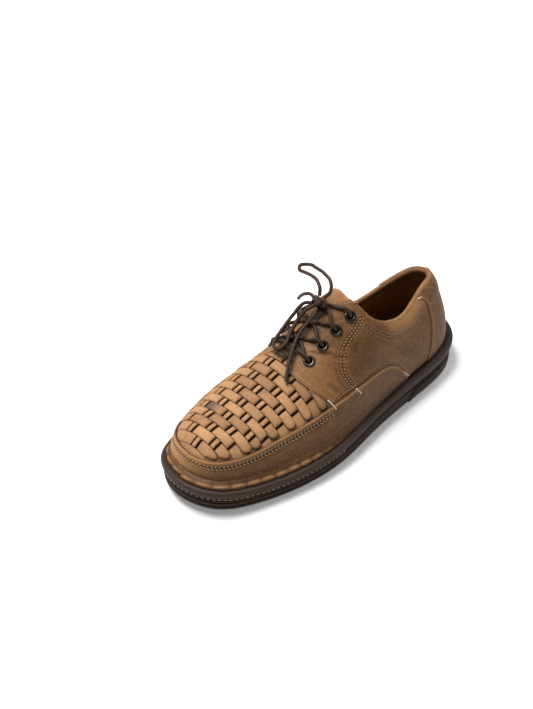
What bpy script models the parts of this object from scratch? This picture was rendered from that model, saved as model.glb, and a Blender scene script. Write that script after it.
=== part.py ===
"""Woven leather derby, left foot, built as a maker puts it together.

The shoe stands on the floor with its toe towards -Y and its outer (lateral) side towards +X.
Sizes below are in millimetres. Stations are distances from the back of the sole's tread.
"""

import bmesh
import bpy
import numpy as np
from mathutils import Matrix, Vector

MM = 0.001
GAP = 0.3  # clearance between touching pieces

# Sole
SOLE_LENGTH = 300.0
LIP_OVERHANG = 1.5  # the midsole lip stands out past the tread's edge
LAYER_SPLIT = 0.52  # share of the sole's height where outsole and midsole meet
OUTSOLE_OVER_HEEL = 3.0
HEEL_FRONT = 84.0
HEEL_ROUND = 14.0  # rounded step over the heel block's front
HEEL_STEPS = (68.0, 74.0, 79.0, 82.5, 83.7)

# Upper
WALL = 2.4  # quarter leather with its lining
RAISED_EDGE = 0.9  # the mudguard's folded edge above the quarter and apron
EDGE_STEP = 1.3
FLANGE = 4.0  # edge of the upper turned out over the sole
COLLAR_PAD = 18.0  # depth of the padded roll below the topline
COLLAR_SWELL_OUT = 1.0
COLLAR_SWELL_IN = 2.6
COUNTER_FRONT = 50.0
COUNTER_RISE = 0.9
SPINE_HEEL = 32.0
SPINE_TOE = 250.0
QUARTER_FRONT = 175.0  # station of the quarter's front edge at the mudguard
QUARTER_SKEW = 15.0  # how much further forward that edge is at the throat
TAB_STATION = 116.0  # back end of the lace tabs

# Weave of the apron
COURSE = 11.3  # width of a crosswise strip
WARP_PITCH = 13.6  # spacing of the lengthwise strips
WARP_WIDTH = 3.6
SLIT = 1.3  # width of the open slits beside a lengthwise strip
COURSE_EDGE = 1.5  # rounded edge of a crosswise strip
COURSES = 12
WARPS = 9
SHEET_BACK = 0.6  # inner face of the woven sheet above the lining face
SHEET_FACE = 1.5
STRIP_RISE = 1.4
WARP_RISE = 0.8
DIVE_RISE = 0.4
SHEET_MARGIN = 0.07  # share of the section by which the sheet runs down inside the mudguard
APRON_BACK = 166.0  # station where the woven sheet ends under the quarters
THROAT_BACK = 182.0  # station where it ends between the lace tabs
THROAT_HALF = 20.0

# Lacing
EYELET_STATIONS = (174.0, 159.5, 145.0, 130.5)
EYELET_OFFSET = 18.5  # from the instep line
EYELET_FLANGE = 4.9
EYELET_BORE = 2.5
EYELET_BARREL = 3.0
EYELET_SIDES = 10
LACE = 2.9  # cord diameter
LACE_SIDES = 6
LACE_LIFT = 5.7  # cord centre above the lining face where it crosses an eyelet
KNOT_STATION = 140.0
KNOT_LIFT = 11.2
KNOT_RADII = (6.0, 4.6, 4.4)

# Tongue and insole
TONGUE = 2.2
TONGUE_DEPTH = 1.9  # below the upper's lining face
TONGUE_HALF = 27.0
TONGUE_ROOT = 200.0
TONGUE_TOP = 120.0
INSOLE = 3.0
INSOLE_INSET = 1.2


class Sections:
    """A short table with a row for each section, read smoothly between its rows."""

    def __init__(self, columns, *rows):
        values = np.array(rows, float)
        self.stations = values[:, 0]
        self.columns = dict(zip(columns[1:], values.T[1:]))

    def at(self, column, station):
        x, y = self.stations, self.columns[column]
        slope = np.gradient(y, x)
        station = np.clip(station, x[0], x[-1])
        i = np.clip(np.searchsorted(x, station, side="right") - 1, 0, len(x) - 2)
        step = x[i + 1] - x[i]
        t = (station - x[i]) / step
        ends = (2 * t**3 - 3 * t**2 + 1) * y[i] + (3 * t**2 - 2 * t**3) * y[i + 1]
        return ends + step * ((t**3 - 2 * t**2 + t) * slope[i] + (t**3 - t**2) * slope[i + 1])


# Tread outline: station from the heel, offset to the lateral (+) or medial (-) side.
TREAD_OUTLINE = (
    (0.0, 0.0), (13.5, 26.0), (48.0, 39.0), (90.0, 42.5), (135.0, 47.5), (180.0, 54.0),
    (222.0, 51.0), (261.0, 40.5), (289.5, 25.0), (300.0, -5.0), (289.5, -32.5), (261.0, -48.0),
    (222.0, -55.0), (180.0, -50.0), (135.0, -40.5), (90.0, -36.5), (48.0, -37.0), (13.5, -26.0),
)

# Sole heights above the floor, and how far the upper's foot lies inside the tread outline.
SOLE = Sections(
    ("station", "floor", "top", "lateral_inset", "medial_inset"),
    (0.0, 0.0, 26.5, 6.0, 6.0),
    (60.0, 0.0, 25.5, 6.0, 6.0),
    (130.0, 0.0, 23.0, 6.0, 6.0),
    (180.0, 0.0, 21.0, 8.5, 6.0),
    (220.0, 0.0, 19.5, 10.0, 7.0),
    (255.0, 0.9, 20.0, 10.5, 8.0),
    (280.0, 3.2, 22.5, 11.0, 8.0),
    (300.0, 6.2, 26.0, 11.0, 11.0),
)

# The last's sections along its spine. Each section is a cubic from the feather line over to
# the ridge: bulge and lift place its first handle, crown and crown_lift its second, end its
# last point. Widths are shares of the half width there, lifts are shares of the height.
LAST = Sections(
    ("station", "centre", "ridge", "bulge", "lift", "lateral_crown", "medial_crown", "crown_lift", "end"),
    (32.0, -0.5, 108.0, 1.06, 0.30, 0.58, 0.54, 0.62, 0.04),
    (80.0, -1.0, 109.0, 1.06, 0.30, 0.66, 0.60, 0.64, 0.15),
    (110.0, -4.0, 109.0, 1.04, 0.34, 0.57, 0.56, 1.0, 0.0),
    (131.0, -6.0, 104.5, 1.02, 0.38, 0.58, 0.66, 1.0, 0.0),
    (155.0, -7.0, 90.5, 1.01, 0.40, 0.59, 0.71, 1.0, 0.0),
    (178.0, -7.5, 77.5, 1.01, 0.42, 0.60, 0.74, 1.0, 0.0),
    (195.0, -9.0, 69.5, 1.01, 0.45, 0.62, 0.78, 1.0, 0.0),
    (212.0, -11.0, 62.5, 1.01, 0.49, 0.66, 0.80, 1.0, 0.0),
    (232.0, -12.0, 56.5, 1.01, 0.55, 0.72, 0.80, 1.0, 0.0),
    (250.0, -11.0, 53.5, 1.01, 0.60, 0.79, 0.79, 1.0, 0.0),
)

# Lines on the upper: top edge of the mudguard above the sole and topline above the floor on each
# side, and half the gap between the lace tabs.
LINES = Sections(
    ("station", "lateral_seam", "medial_seam", "lateral_topline", "medial_topline", "gap"),
    (0.0, 3.0, 3.0, 85.0, 85.0, 4.0),
    (25.0, 3.0, 3.0, 86.0, 82.0, 4.0),
    (45.0, 3.0, 3.0, 85.0, 76.0, 4.0),
    (60.0, 3.0, 3.0, 81.0, 72.0, 4.0),
    (76.0, 3.0, 3.0, 77.3, 69.5, 4.0),
    (86.0, 3.0, 3.0, 77.8, 69.5, 4.0),
    (94.0, 13.0, 13.0, 80.2, 71.5, 4.0),
    (104.0, 22.5, 22.0, 84.0, 76.5, 8.0),
    (110.0, 25.5, 25.0, 87.4, 82.0, 12.0),
    (TAB_STATION, 26.8, 26.5, 93.5, 92.0, 12.5),
    (121.0, 27.5, 27.5, 103.0, 102.0, 10.5),
    (130.0, 28.0, 28.0, 115.0, 115.0, 7.0),
    (140.0, 28.0, 28.5, 140.0, 140.0, 5.6),
    (178.0, 26.5, 29.0, 140.0, 140.0, 10.0),
    (195.0, 25.0, 28.0, 140.0, 140.0, 18.0),
    (230.0, 22.0, 24.5, 140.0, 140.0, 18.0),
    (265.0, 18.5, 19.5, 140.0, 140.0, 18.0),
    (300.0, 15.5, 15.5, 140.0, 140.0, 18.0),
)


def by_side(table, column, u, toe, station):
    """A column read for the lateral or the medial side of a share u round the shoe."""
    lateral = np.mod(u, 1) <= toe
    return np.where(lateral, table.at("lateral_" + column, station), table.at("medial_" + column, station))


def closed_spline(knots, per_span):
    """Points on the smooth closed curve through the knots."""
    p = np.array(knots, float)
    n = len(p)
    span = np.linalg.norm(np.roll(p, -1, 0) - p, axis=1)
    before = np.roll(span, 1)
    system = np.zeros((n, n))
    target = np.zeros((n, p.shape[1]))
    for i in range(n):
        j = (i + 1) % n
        system[i, i - 1] += span[i]
        system[i, i] += 2 * (span[i] + before[i])
        system[i, j] += before[i]
        target[i] = 3 * (span[i] / before[i] * (p[i] - p[i - 1]) + before[i] / span[i] * (p[j] - p[i]))
    slope = np.linalg.solve(system, target)
    t = np.linspace(0, 1, per_span, endpoint=False)[:, None]
    pieces = []
    for i in range(n):
        j = (i + 1) % n
        ends = (2 * t**3 - 3 * t**2 + 1) * p[i] + (3 * t**2 - 2 * t**3) * p[j]
        turns = (t**3 - 2 * t**2 + t) * slope[i] + (t**3 - t**2) * slope[j]
        pieces.append(ends + span[i] * turns)
    return np.concatenate(pieces)


class Outline:
    """A closed outline of (x, station) points, read by share of its length from the heel back."""

    def __init__(self, points):
        start = np.argmin(points[:, 1])
        points = np.roll(points, -start, 0)
        steps = np.linalg.norm(np.roll(points, -1, 0) - points, axis=1)
        self.share = np.concatenate([[0], np.cumsum(steps)[:-1]]) / steps.sum()
        self.points = points
        along = np.roll(points, -1, 0) - np.roll(points, 1, 0)
        along /= np.linalg.norm(along, axis=1)[:, None]
        self.outward = np.stack([along[:, 1], -along[:, 0]], 1)
        self.toe = self.share[np.argmax(points[:, 1])]

    def read(self, values, u):
        return np.interp(np.mod(u, 1), self.share, values, period=1)

    def at(self, u, outset=0.0):
        moved = self.points + self.outward * outset
        return self.read(moved[:, 0], u), self.read(moved[:, 1], u)

    def side(self, lateral, station):
        """Share of the outline where one side passes a station."""
        lat = self.share <= self.toe
        pick = lat if lateral else ~lat
        share, stations = self.share[pick], self.points[pick, 1]
        order = np.argsort(stations)
        return np.interp(station, stations[order], share[order])


def tread_outline():
    knots = [(offset, station) for station, offset in TREAD_OUTLINE]
    points = closed_spline(knots, 40)
    points[:, 0] -= (points[:, 0].max() + points[:, 0].min()) / 2
    return Outline(points)


TREAD = tread_outline()


def feather_outline():
    """Where the inside of the upper meets the sole."""
    x, station = TREAD.at(TREAD.share)
    inset = by_side(SOLE, "inset", TREAD.share, TREAD.toe, station)
    points = np.stack([x, station], 1) - TREAD.outward * inset[:, None]
    return Outline(points)


FEATHER = feather_outline()


def section(u, spine, t):
    """Width share and height share of the last's section at t, from feather line to ridge."""
    s = 1 - t
    bulge, lift, crown_lift, end = [LAST.at(name, spine) for name in ("bulge", "lift", "crown_lift", "end")]
    crown = by_side(LAST, "crown", u, FEATHER.toe, spine)
    wide = s**3 + 3 * s * s * t * bulge + 3 * s * t * t * crown + t**3 * end
    high = 3 * s * s * t * lift + 3 * s * t * t * crown_lift + t**3
    return wide, high


def spine_of(station):
    spine = np.clip(station, SPINE_HEEL, SPINE_TOE)
    return LAST.at("centre", spine), spine


def place(x, station, z):
    """A point of the shoe's frame, in millimetres: the toe is at -Y."""
    x, station, z = np.broadcast_arrays(x, station, z)
    return np.stack([x, SOLE_LENGTH / 2 - station, z], -1)


def last_point(u, t):
    """The last's surface: u goes round the feather line from the heel back, t up the section."""
    foot_x, foot_d = FEATHER.at(u)
    spine_x, spine_d = spine_of(foot_d)
    wide, high = section(u, spine_d, t)
    rim = SOLE.at("top", foot_d) + GAP
    rise = LAST.at("ridge", spine_d) - rim
    x = spine_x + (foot_x - spine_x) * wide
    station = spine_d + (foot_d - spine_d) * wide
    return place(x, station, rim + rise * high)


def solve_up(value, low, high, target):
    """The t between low and high where a rising function of t reaches its target."""
    low = np.broadcast_to(low, np.shape(target)).astype(float)
    high = np.broadcast_to(high, np.shape(target)).astype(float)
    for _ in range(40):
        middle = (low + high) / 2
        short = value(middle) < target
        low = np.where(short, middle, low)
        high = np.where(short, high, middle)
    return (low + high) / 2


def t_at_height(u, z):
    return solve_up(lambda t: last_point(u, t)[..., 2], 0.0, 1.0, z)


def t_at_offset(u, offset):
    """Where the section comes within an offset of the instep line."""
    foot_x, foot_d = FEATHER.at(u)
    spine_x, spine_d = spine_of(foot_d)
    reach = np.hypot(foot_x - spine_x, foot_d - spine_d)
    share = offset / reach
    return solve_up(lambda t: -section(u, spine_d, t)[0], 0.25, 1.0, -share)


def seam_t(u):
    """The apron seam, and behind it the line where quarter and mudguard meet."""
    foot_d = FEATHER.at(u)[1]
    return t_at_height(u, SOLE.at("top", foot_d) + by_side(LINES, "seam", u, FEATHER.toe, foot_d))


def top_t(u):
    """The upper's free edge: the collar, then up round the tab and along the throat."""
    foot_d = FEATHER.at(u)[1]
    topline = by_side(LINES, "topline", u, FEATHER.toe, foot_d)
    return np.minimum(t_at_height(u, topline), t_at_offset(u, LINES.at("gap", foot_d)))


def locate(x, station):
    """(u, t) of the last's surface over a plan point in front of the heel."""
    spine_x, spine_d = spine_of(station)
    foot_x, foot_d = FEATHER.at(FEATHER.share)
    u = np.where(x >= spine_x, FEATHER.side(True, station), FEATHER.side(False, station))
    fan = foot_d > SPINE_TOE
    toe_x = LAST.at("centre", SPINE_TOE)
    bearing = np.arctan2(foot_x[fan] - toe_x, foot_d[fan] - SPINE_TOE)
    order = np.argsort(bearing)
    turned = np.interp(np.arctan2(x - toe_x, station - SPINE_TOE), bearing[order], FEATHER.share[fan][order])
    u = np.where(station > SPINE_TOE, turned, u)
    edge_x, edge_d = FEATHER.at(u)
    reach = np.hypot(edge_x - spine_x, edge_d - spine_d)
    share = np.hypot(x - spine_x, station - spine_d) / np.maximum(reach, 1.0)
    return u, solve_up(lambda t: -section(u, spine_d, t)[0], 0.2, 1.0, -share), share


def last_normal(u, t):
    """Outward unit normal of the last's surface."""
    du, dt = 0.0008, 0.004
    low, high = np.maximum(t - dt, 0), np.minimum(t + dt, 0.998)
    round_ = last_point(u + du, t) - last_point(u - du, t)
    up = last_point(u, high) - last_point(u, low)
    normal = np.cross(up, round_)
    return normal / np.linalg.norm(normal, axis=-1, keepdims=True)


def on_instep(x_from_line, station, rise):
    """A point above the last near the instep line, and the surface normal there."""
    centre = LAST.at("centre", station)
    u, t, _ = locate(centre + x_from_line, np.asarray(station, float))
    normal = last_normal(u, np.minimum(t, 0.97))
    return last_point(u, t) + normal * np.asarray(rise)[..., None], normal


# Materials


def material(name, colour, roughness, metallic=0.0):
    made = bpy.data.materials.new(name)
    made.use_nodes = True
    shader = made.node_tree.nodes["Principled BSDF"]
    shader.inputs["Base Color"].default_value = (*colour, 1.0)
    shader.inputs["Roughness"].default_value = roughness
    shader.inputs["Metallic"].default_value = metallic
    return made


def make_materials():
    return {
        "leather": material("waxed_nubuck", (0.30, 0.165, 0.075), 0.7),
        "lining": material("lining_leather", (0.42, 0.20, 0.06), 0.6),
        "rubber": material("brown_rubber", (0.050, 0.036, 0.029), 0.6),
        "metal": material("gunmetal", (0.16, 0.14, 0.13), 0.35, 1.0),
        "cord": material("waxed_cord", (0.10, 0.055, 0.038), 0.55),
    }


# Mesh making


def add_object(name, mesh_builder, finish):
    """A named object from a bmesh in millimetres, closed and facing out."""
    bmesh.ops.recalc_face_normals(mesh_builder, faces=mesh_builder.faces)
    if mesh_builder.calc_volume(signed=True) < 0:
        bmesh.ops.reverse_faces(mesh_builder, faces=mesh_builder.faces)
    mesh = bpy.data.meshes.new(name)
    bmesh.ops.scale(mesh_builder, vec=(MM, MM, MM), verts=mesh_builder.verts)
    mesh_builder.to_mesh(mesh)
    mesh_builder.free()
    mesh.shade_smooth()
    mesh.set_sharp_from_angle(angle=np.radians(40))
    made = bpy.data.objects.new(name, mesh)
    bpy.context.scene.collection.objects.link(made)
    if finish:
        made.data.materials.append(finish)
    return made


def as_helper(made):
    made.hide_render = True
    made.display_type = "WIRE"
    return made


def shell(name, outer, inner, cells, wrap, finish):
    """A closed sheet between two grids of points. cells marks the squares that are leather, and
    wrap joins the last column to the first."""
    rows, columns = outer.shape[:2]
    wide = cells.shape[1]
    builder = bmesh.new()
    corners = {}

    def corner(face, i, j):
        key = (face, i, j % columns)
        if key not in corners:
            point = (outer if face else inner)[i, j % columns]
            corners[key] = builder.verts.new(point)
        return corners[key]

    def filled(i, j):
        if wrap:
            j %= wide
        return 0 <= i < cells.shape[0] and 0 <= j < wide and cells[i, j]

    for i in range(cells.shape[0]):
        for j in range(wide):
            if not cells[i, j]:
                continue
            loop = [(i, j), (i, j + 1), (i + 1, j + 1), (i + 1, j)]
            builder.faces.new([corner(1, *p) for p in loop])
            builder.faces.new([corner(0, *p) for p in reversed(loop)])
            beside = [(i - 1, j), (i, j + 1), (i + 1, j), (i, j - 1)]
            for k, neighbour in enumerate(beside):
                if not filled(*neighbour):
                    a, b = loop[k], loop[(k + 1) % 4]
                    builder.faces.new([corner(1, *b), corner(1, *a), corner(0, *a), corner(0, *b)])
    return add_object(name, builder, finish)


def stacked(name, rings, finish):
    """A closed solid through rings of points, bottom to top. Its ends are bridged side to side."""
    builder = bmesh.new()
    loops = [[builder.verts.new(p) for p in ring] for ring in rings]
    count = len(loops[0])
    for low, high in zip(loops, loops[1:]):
        for j in range(count):
            k = (j + 1) % count
            builder.faces.new([low[j], low[k], high[k], high[j]])
    pairs = (count - 1) // 2
    for end in (loops[0], loops[-1]):
        builder.faces.new([end[0], end[1], end[-1]])
        for j in range(1, pairs):
            builder.faces.new([end[j], end[j + 1], end[-j - 1], end[-j]])
        if count % 2 == 0:
            builder.faces.new([end[pairs], end[pairs + 1], end[pairs + 2]])
    return add_object(name, builder, finish)


def tube(name, path, radius, finish):
    """A closed round tube along a path of points, with flat ends."""
    path = np.array(path, float)
    along = np.gradient(path, axis=0)
    along /= np.linalg.norm(along, axis=1)[:, None]
    side = np.cross(along[0], (0.0, 0.0, 1.0))
    builder = bmesh.new()
    loops = []
    for point, ahead in zip(path, along):
        side = side - ahead * (side @ ahead)
        side /= np.linalg.norm(side)
        other = np.cross(ahead, side)
        turns = np.arange(LACE_SIDES) * 2 * np.pi / LACE_SIDES
        ring = [point + radius * (np.cos(a) * side + np.sin(a) * other) for a in turns]
        loops.append([builder.verts.new(p) for p in ring])
    for low, high in zip(loops, loops[1:]):
        for j in range(LACE_SIDES):
            k = (j + 1) % LACE_SIDES
            builder.faces.new([low[j], low[k], high[k], high[j]])
    builder.faces.new(loops[0][::-1])
    builder.faces.new(loops[-1])
    return add_object(name, builder, finish)


def free_cord(name, path, radius, finish):
    """A loose cord: a bevelled curve through a path of points, with closed ends."""
    curve = bpy.data.curves.new(name, "CURVE")
    curve.dimensions = "3D"
    spline = curve.splines.new("POLY")
    spline.points.add(len(path) - 1)
    for point, place_mm in zip(spline.points, path):
        point.co = (*(place_mm * MM), 1.0)
    curve.bevel_depth = radius * MM
    curve.bevel_resolution = 2
    curve.use_fill_caps = True
    curve.materials.append(finish)
    made = bpy.data.objects.new(name, curve)
    bpy.context.scene.collection.objects.link(made)
    return made


def combine(target, operation, *others):
    """Joins or cuts a solid with others by exact Boolean modifiers."""
    for other in others:
        modifier = target.modifiers.new(other.name, "BOOLEAN")
        modifier.operation = operation
        modifier.solver = "EXACT"
        modifier.object = as_helper(other)


# Sole


def stacked_shares():
    """Shares round the tread whose lateral and medial points lie at equal stations."""
    heel = np.linspace(0, TREAD.side(True, 58.0), 8)
    steps = TREAD.side(True, np.array(HEEL_STEPS + (HEEL_FRONT + 0.4,)))
    fore = np.linspace(TREAD.side(True, 98.0), TREAD.toe, 14)
    lateral = np.concatenate([heel, steps, fore])
    medial = TREAD.side(False, TREAD.at(lateral[1:-1])[1])
    return np.concatenate([lateral, medial[::-1]])


def sole_floor(station):
    """Underside of the sole: flat on the floor, then rising in the toe spring."""
    return np.maximum(SOLE.at("floor", station), 0.0)


def layer_height(station):
    """Height of the joint between outsole and midsole."""
    floor, top = sole_floor(station), SOLE.at("top", station)
    return floor + (top - floor) * LAYER_SPLIT


def outsole_floor(station):
    """Underside of the outsole: on the floor, and up over the heel block behind its step."""
    t = np.clip((HEEL_FRONT - station) / HEEL_ROUND, 0, 1)
    step = np.sqrt(1 - (1 - t) ** 2)
    floor = sole_floor(station)
    return floor + (layer_height(station) - OUTSOLE_OVER_HEEL - floor) * step


def layer(name, shares, profile, bottom, top, finish):
    """A layer of the sole: rings at shares of its height, drawn in from the tread outline."""
    rings = []
    station = TREAD.at(shares)[1]
    for height, inset, groove in profile:
        x, d = TREAD.at(shares)
        drawn = inset + groove * rib_depth(station)
        x = x - drawn * TREAD.read(TREAD.outward[:, 0], shares)
        d = d - drawn * TREAD.read(TREAD.outward[:, 1], shares)
        level = np.where(station < 100.0, station, d)
        low, high = bottom(level), top(level)
        rings.append(place(x, d, low + (high - low) * height))
    return stacked(name, rings, finish)


def rib_depth(station):
    """The side ribs are deepest round the toe and fade out before the waist."""
    return 1.3 * np.clip((station - 120.0) / 90.0, 0, 1)


def make_sole(finish):
    shares = stacked_shares()
    # Each row: share of the layer's height, inset from the tread outline, share of the rib's groove.
    lip = -LIP_OVERHANG
    midsole = ((0.0, 7.0, 0), (0.0, 1.2, 0), (0.07, 0.2, 0), (0.14, 0.5, 0.4), (0.24, -0.4, 0),
               (0.62, lip, 0), (0.84, lip, 0), (0.96, -0.4, 0), (1.0, 1.2, 0), (1.0, 7.0, 0))
    layer("midsole", shares, midsole, lambda d: layer_height(d) + GAP, lambda d: SOLE.at("top", d), finish)
    outsole = ((0.0, 8.0, 0), (0.0, 1.5, 0), (0.14, 0.7, 0), (0.34, 0.4, 0), (0.42, 0.9, 1), (0.50, 0.4, 0),
               (0.68, 0.3, 0), (0.76, 0.8, 1), (0.84, 0.3, 0), (1.0, 1.2, 0), (1.0, 8.0, 0))
    layer("outsole", shares, outsole, outsole_floor, layer_height, finish)
    stations = TREAD.at(shares)[1]
    behind = stations < HEEL_STEPS[-1] - 0.1
    heel = ((0.0, 8.0, 0), (0.0, 2.4, 0), (0.12, 0.8, 0), (0.5, 0.2, 0), (0.88, 0.3, 0), (1.0, 1.4, 0),
            (1.0, 8.0, 0))
    layer("heel_block", shares[behind], heel, lambda d: 0 * d, lambda d: outsole_floor(d) - GAP, finish)


def make_insole(finish):
    lateral = np.linspace(0, FEATHER.toe, 25)
    medial = FEATHER.side(False, FEATHER.at(lateral[1:-1])[1])
    u = np.concatenate([lateral, medial[::-1]])
    x, d = FEATHER.at(u, -INSOLE_INSET)
    low = place(x, d, SOLE.at("top", d) + GAP)
    high = low + np.array([0, 0, INSOLE])
    return stacked("insole", [low, high], finish)


# Upper


def upper_columns():
    """Shares of the band's columns, from the medial quarter front round the heel to the lateral
    one, then round the toe. The second value is the number of columns of the quarters."""
    ends = []
    edges = np.array([COUNTER_FRONT, COUNTER_FRONT + EDGE_STEP, QUARTER_FRONT])
    for lateral in (True, False):
        ends.append(FEATHER.side(lateral, edges))
    (lat_counter, lat_step, lat_front), (med_counter, med_step, med_front) = ends
    medial = np.linspace(med_front, med_step, 14) - 1
    heel = np.linspace(med_counter - 1, lat_counter, 13)
    lateral = np.linspace(lat_step, lat_front, 14)
    toe = np.linspace(lat_front, med_front, 29)[1:-1]
    quarters = np.concatenate([medial, heel, lateral])
    return np.concatenate([quarters, toe]), len(quarters)


def smooth(t):
    t = np.clip(t, 0, 1)
    return t * t * (3 - 2 * t)


def make_band(finish):
    """Mudguard all round and quarters behind their front edge, as one wall."""
    u, quarters = upper_columns()
    from_front = np.minimum(np.arange(len(u)), quarters - 1 - np.arange(len(u)))
    behind = from_front >= 0
    lateral = np.mod(u, 1) <= FEATHER.toe
    station = FEATHER.at(u)[1]
    seam = seam_t(u)
    points, normals, outer_rise, inner_rise = [], [], [], []

    def add(p, n, out, back):
        points.append(p)
        normals.append(n / np.linalg.norm(n, axis=-1, keepdims=True))
        outer_rise.append(np.broadcast_to(out, len(u)))
        inner_rise.append(np.broadcast_to(back, len(u)))

    counter = COUNTER_RISE * (station < COUNTER_FRONT + 0.1) * behind
    above = np.array([0.0, 0.0, 1.0])
    x, d = FEATHER.at(u, FLANGE)
    add(place(x, d, SOLE.at("top", d) + GAP), above + 0 * last_point(u, 0 * u), WALL - 0.8, 0.0)
    foot_normal = last_normal(u, 0 * u + 0.02)
    add(last_point(u, 0 * u), foot_normal + above, WALL + 0.4, 0.0)
    for share in (0.34, 0.68):
        add(last_point(u, seam * share), last_normal(u, seam * share), WALL + counter, 0.0)
    piping = RAISED_EDGE * (1 - smooth((92.0 - station) / 8))
    add(last_point(u, seam), last_normal(u, seam), WALL + piping + counter, 0.0)
    for share in (0.03, 0.25, 0.5, 0.74, 0.9, 1.0):
        skew = QUARTER_SKEW * share * (2 - share) * np.exp(-(from_front / 5.0) ** 2) * (from_front < 12)
        moved = np.where(lateral, FEATHER.side(True, station + skew), FEATHER.side(False, station + skew))
        moved = np.where(behind & (from_front < 12), moved, u)
        low, high = seam_t(moved), top_t(moved)
        t = low + (high - low) * share
        p = last_point(moved, t)
        below_edge = np.linalg.norm(last_point(moved, high) - p, axis=-1)
        padded = smooth((TAB_STATION - 6 - station) / 14)
        swell = np.sin(np.pi * np.clip(below_edge / COLLAR_PAD, 0, 1)) * padded
        edge = smooth(1 - below_edge / 4.0) * padded
        outer_face = WALL + COLLAR_SWELL_OUT * swell - 0.4 * edge + counter
        add(p, last_normal(moved, np.minimum(t, 0.97)), outer_face, -COLLAR_SWELL_IN * swell - 0.8 * edge)
    points, normals = np.array(points), np.array(normals)
    outer = points + normals * np.array(outer_rise)[..., None]
    inner = points + normals * np.array(inner_rise)[..., None]
    cells = np.ones((len(points) - 1, len(u)), bool)
    cells[4:, quarters - 1:] = False
    return shell("upper", outer, inner, cells, True, finish)


def weave_lines():
    """The lattice's cross and lengthwise lines in millimetres from the throat and the centre."""
    rows = []
    for course in range(COURSES):
        rows += [course * COURSE, course * COURSE + COURSE_EDGE, (course + 1) * COURSE - COURSE_EDGE]
    rows.append(COURSES * COURSE)
    columns = []
    for warp in range(WARPS):
        middle = (warp - (WARPS - 1) / 2) * WARP_PITCH
        half = WARP_WIDTH / 2
        columns += [middle - half - SLIT, middle - half, middle + half, middle + half + SLIT]
    return np.array(rows), np.array(columns)


def weave_points(rows, columns):
    """Plan points of the lattice, spaced by the length along and across the last's surface."""
    station = np.linspace(APRON_BACK, 287.0, 400)
    centre = LAST.at("centre", np.minimum(station, SPINE_TOE))
    u, t, _ = locate(centre, station)
    ridge = last_point(u, t)
    run = np.concatenate([[0], np.cumsum(np.linalg.norm(np.diff(ridge, axis=0), axis=1))])
    row_station = np.interp(rows, run, station)
    x = np.zeros((len(rows), len(columns)))
    d = np.zeros_like(x)
    for i, s in enumerate(row_station):
        middle = float(LAST.at("centre", min(s, SPINE_TOE)))
        across = np.linspace(middle - 75, middle + 75, 301)
        su, st, share = locate(across, np.full(301, s))
        inside = share <= 1.0
        across, su, st = across[inside], su[inside], st[inside]
        line = last_point(su, st)
        length = np.concatenate([[0], np.cumsum(np.linalg.norm(np.diff(line, axis=0), axis=1))])
        length -= np.interp(middle, across, length)
        past = np.maximum(columns - length[-1], 0) + np.minimum(columns - length[0], 0)
        x[i] = np.interp(columns, length, across) + past
        d[i] = s
    return x, d


def without_corners(cells):
    """Fills a square wherever two squares would meet only at a corner."""
    cells = cells.copy()
    while True:
        a, b, c, d = cells[:-1, :-1], cells[:-1, 1:], cells[1:, :-1], cells[1:, 1:]
        falling = a & d & ~b & ~c
        rising = b & c & ~a & ~d
        if not (falling.any() or rising.any()):
            return cells
        b |= falling
        a |= rising


def make_apron(finish):
    """The woven sheet: strips raised on one wall, with open slits beside the lengthwise strips."""
    rows, columns = weave_lines()
    x, d = weave_points(rows, columns)
    u, t, _ = locate(x, d)
    seam = seam_t(u)
    t = np.clip(t, seam - SHEET_MARGIN, 0.985)
    points, normals = last_point(u, t), last_normal(u, np.minimum(t, 0.97))
    rise = np.zeros_like(x)
    over = np.zeros((COURSES, WARPS), bool)
    for course in range(COURSES):
        for warp in range(WARPS):
            shows = (course + warp) % 2 == 0
            over[course, warp] = shows
            levels = (DIVE_RISE, WARP_RISE, WARP_RISE, DIVE_RISE) if shows else (STRIP_RISE,) * 4
            for row in (3 * course + 1, 3 * course + 2):
                rise[row, 4 * warp:4 * warp + 4] = levels
    up_quarter = np.clip((t - seam) / np.maximum(top_t(u) - seam, 0.05), 0, 1)
    quarter_edge = QUARTER_FRONT + QUARTER_SKEW * up_quarter * (2 - up_quarter)
    inside = smooth((t - seam - 0.02) / 0.10) * smooth((d - quarter_edge) / 5.0)
    outer = points + normals * (SHEET_FACE + rise * inside)[..., None]
    inner = points + normals * SHEET_BACK
    above = t > seam - 0.9 * SHEET_MARGIN
    cells = above[:-1, :-1] | above[1:, :-1] | above[:-1, 1:] | above[1:, 1:]
    well_in = t > seam + 0.05
    all_in = well_in[:-1, :-1] & well_in[1:, :-1] & well_in[:-1, 1:] & well_in[1:, 1:]
    from_line = np.abs(x - LAST.at("centre", np.minimum(d, SPINE_TOE)))
    throat = (d < THROAT_BACK) & (from_line < THROAT_HALF)
    cells &= ~(throat[:-1, :-1] & throat[1:, 1:])
    clear = d[:-1, 0] > QUARTER_FRONT + QUARTER_SKEW - 4
    for course in range(COURSES):
        for warp in range(WARPS):
            if over[course, warp]:
                for column in (4 * warp, 4 * warp + 2):
                    row = 3 * course + 1
                    if all_in[row, column] and clear[row]:
                        cells[row, column] = False
    return shell("apron_weave", outer, inner, without_corners(cells), False, finish)


def eyelet_seats():
    """Centre on the lining face and outward normal of each eyelet, lateral side first."""
    seats = {}
    for side, sign in (("lateral", 1), ("medial", -1)):
        stations = np.array(EYELET_STATIONS)
        seats[side] = on_instep(np.full(4, sign * EYELET_OFFSET), stations, np.zeros(4))
    return seats


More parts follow.
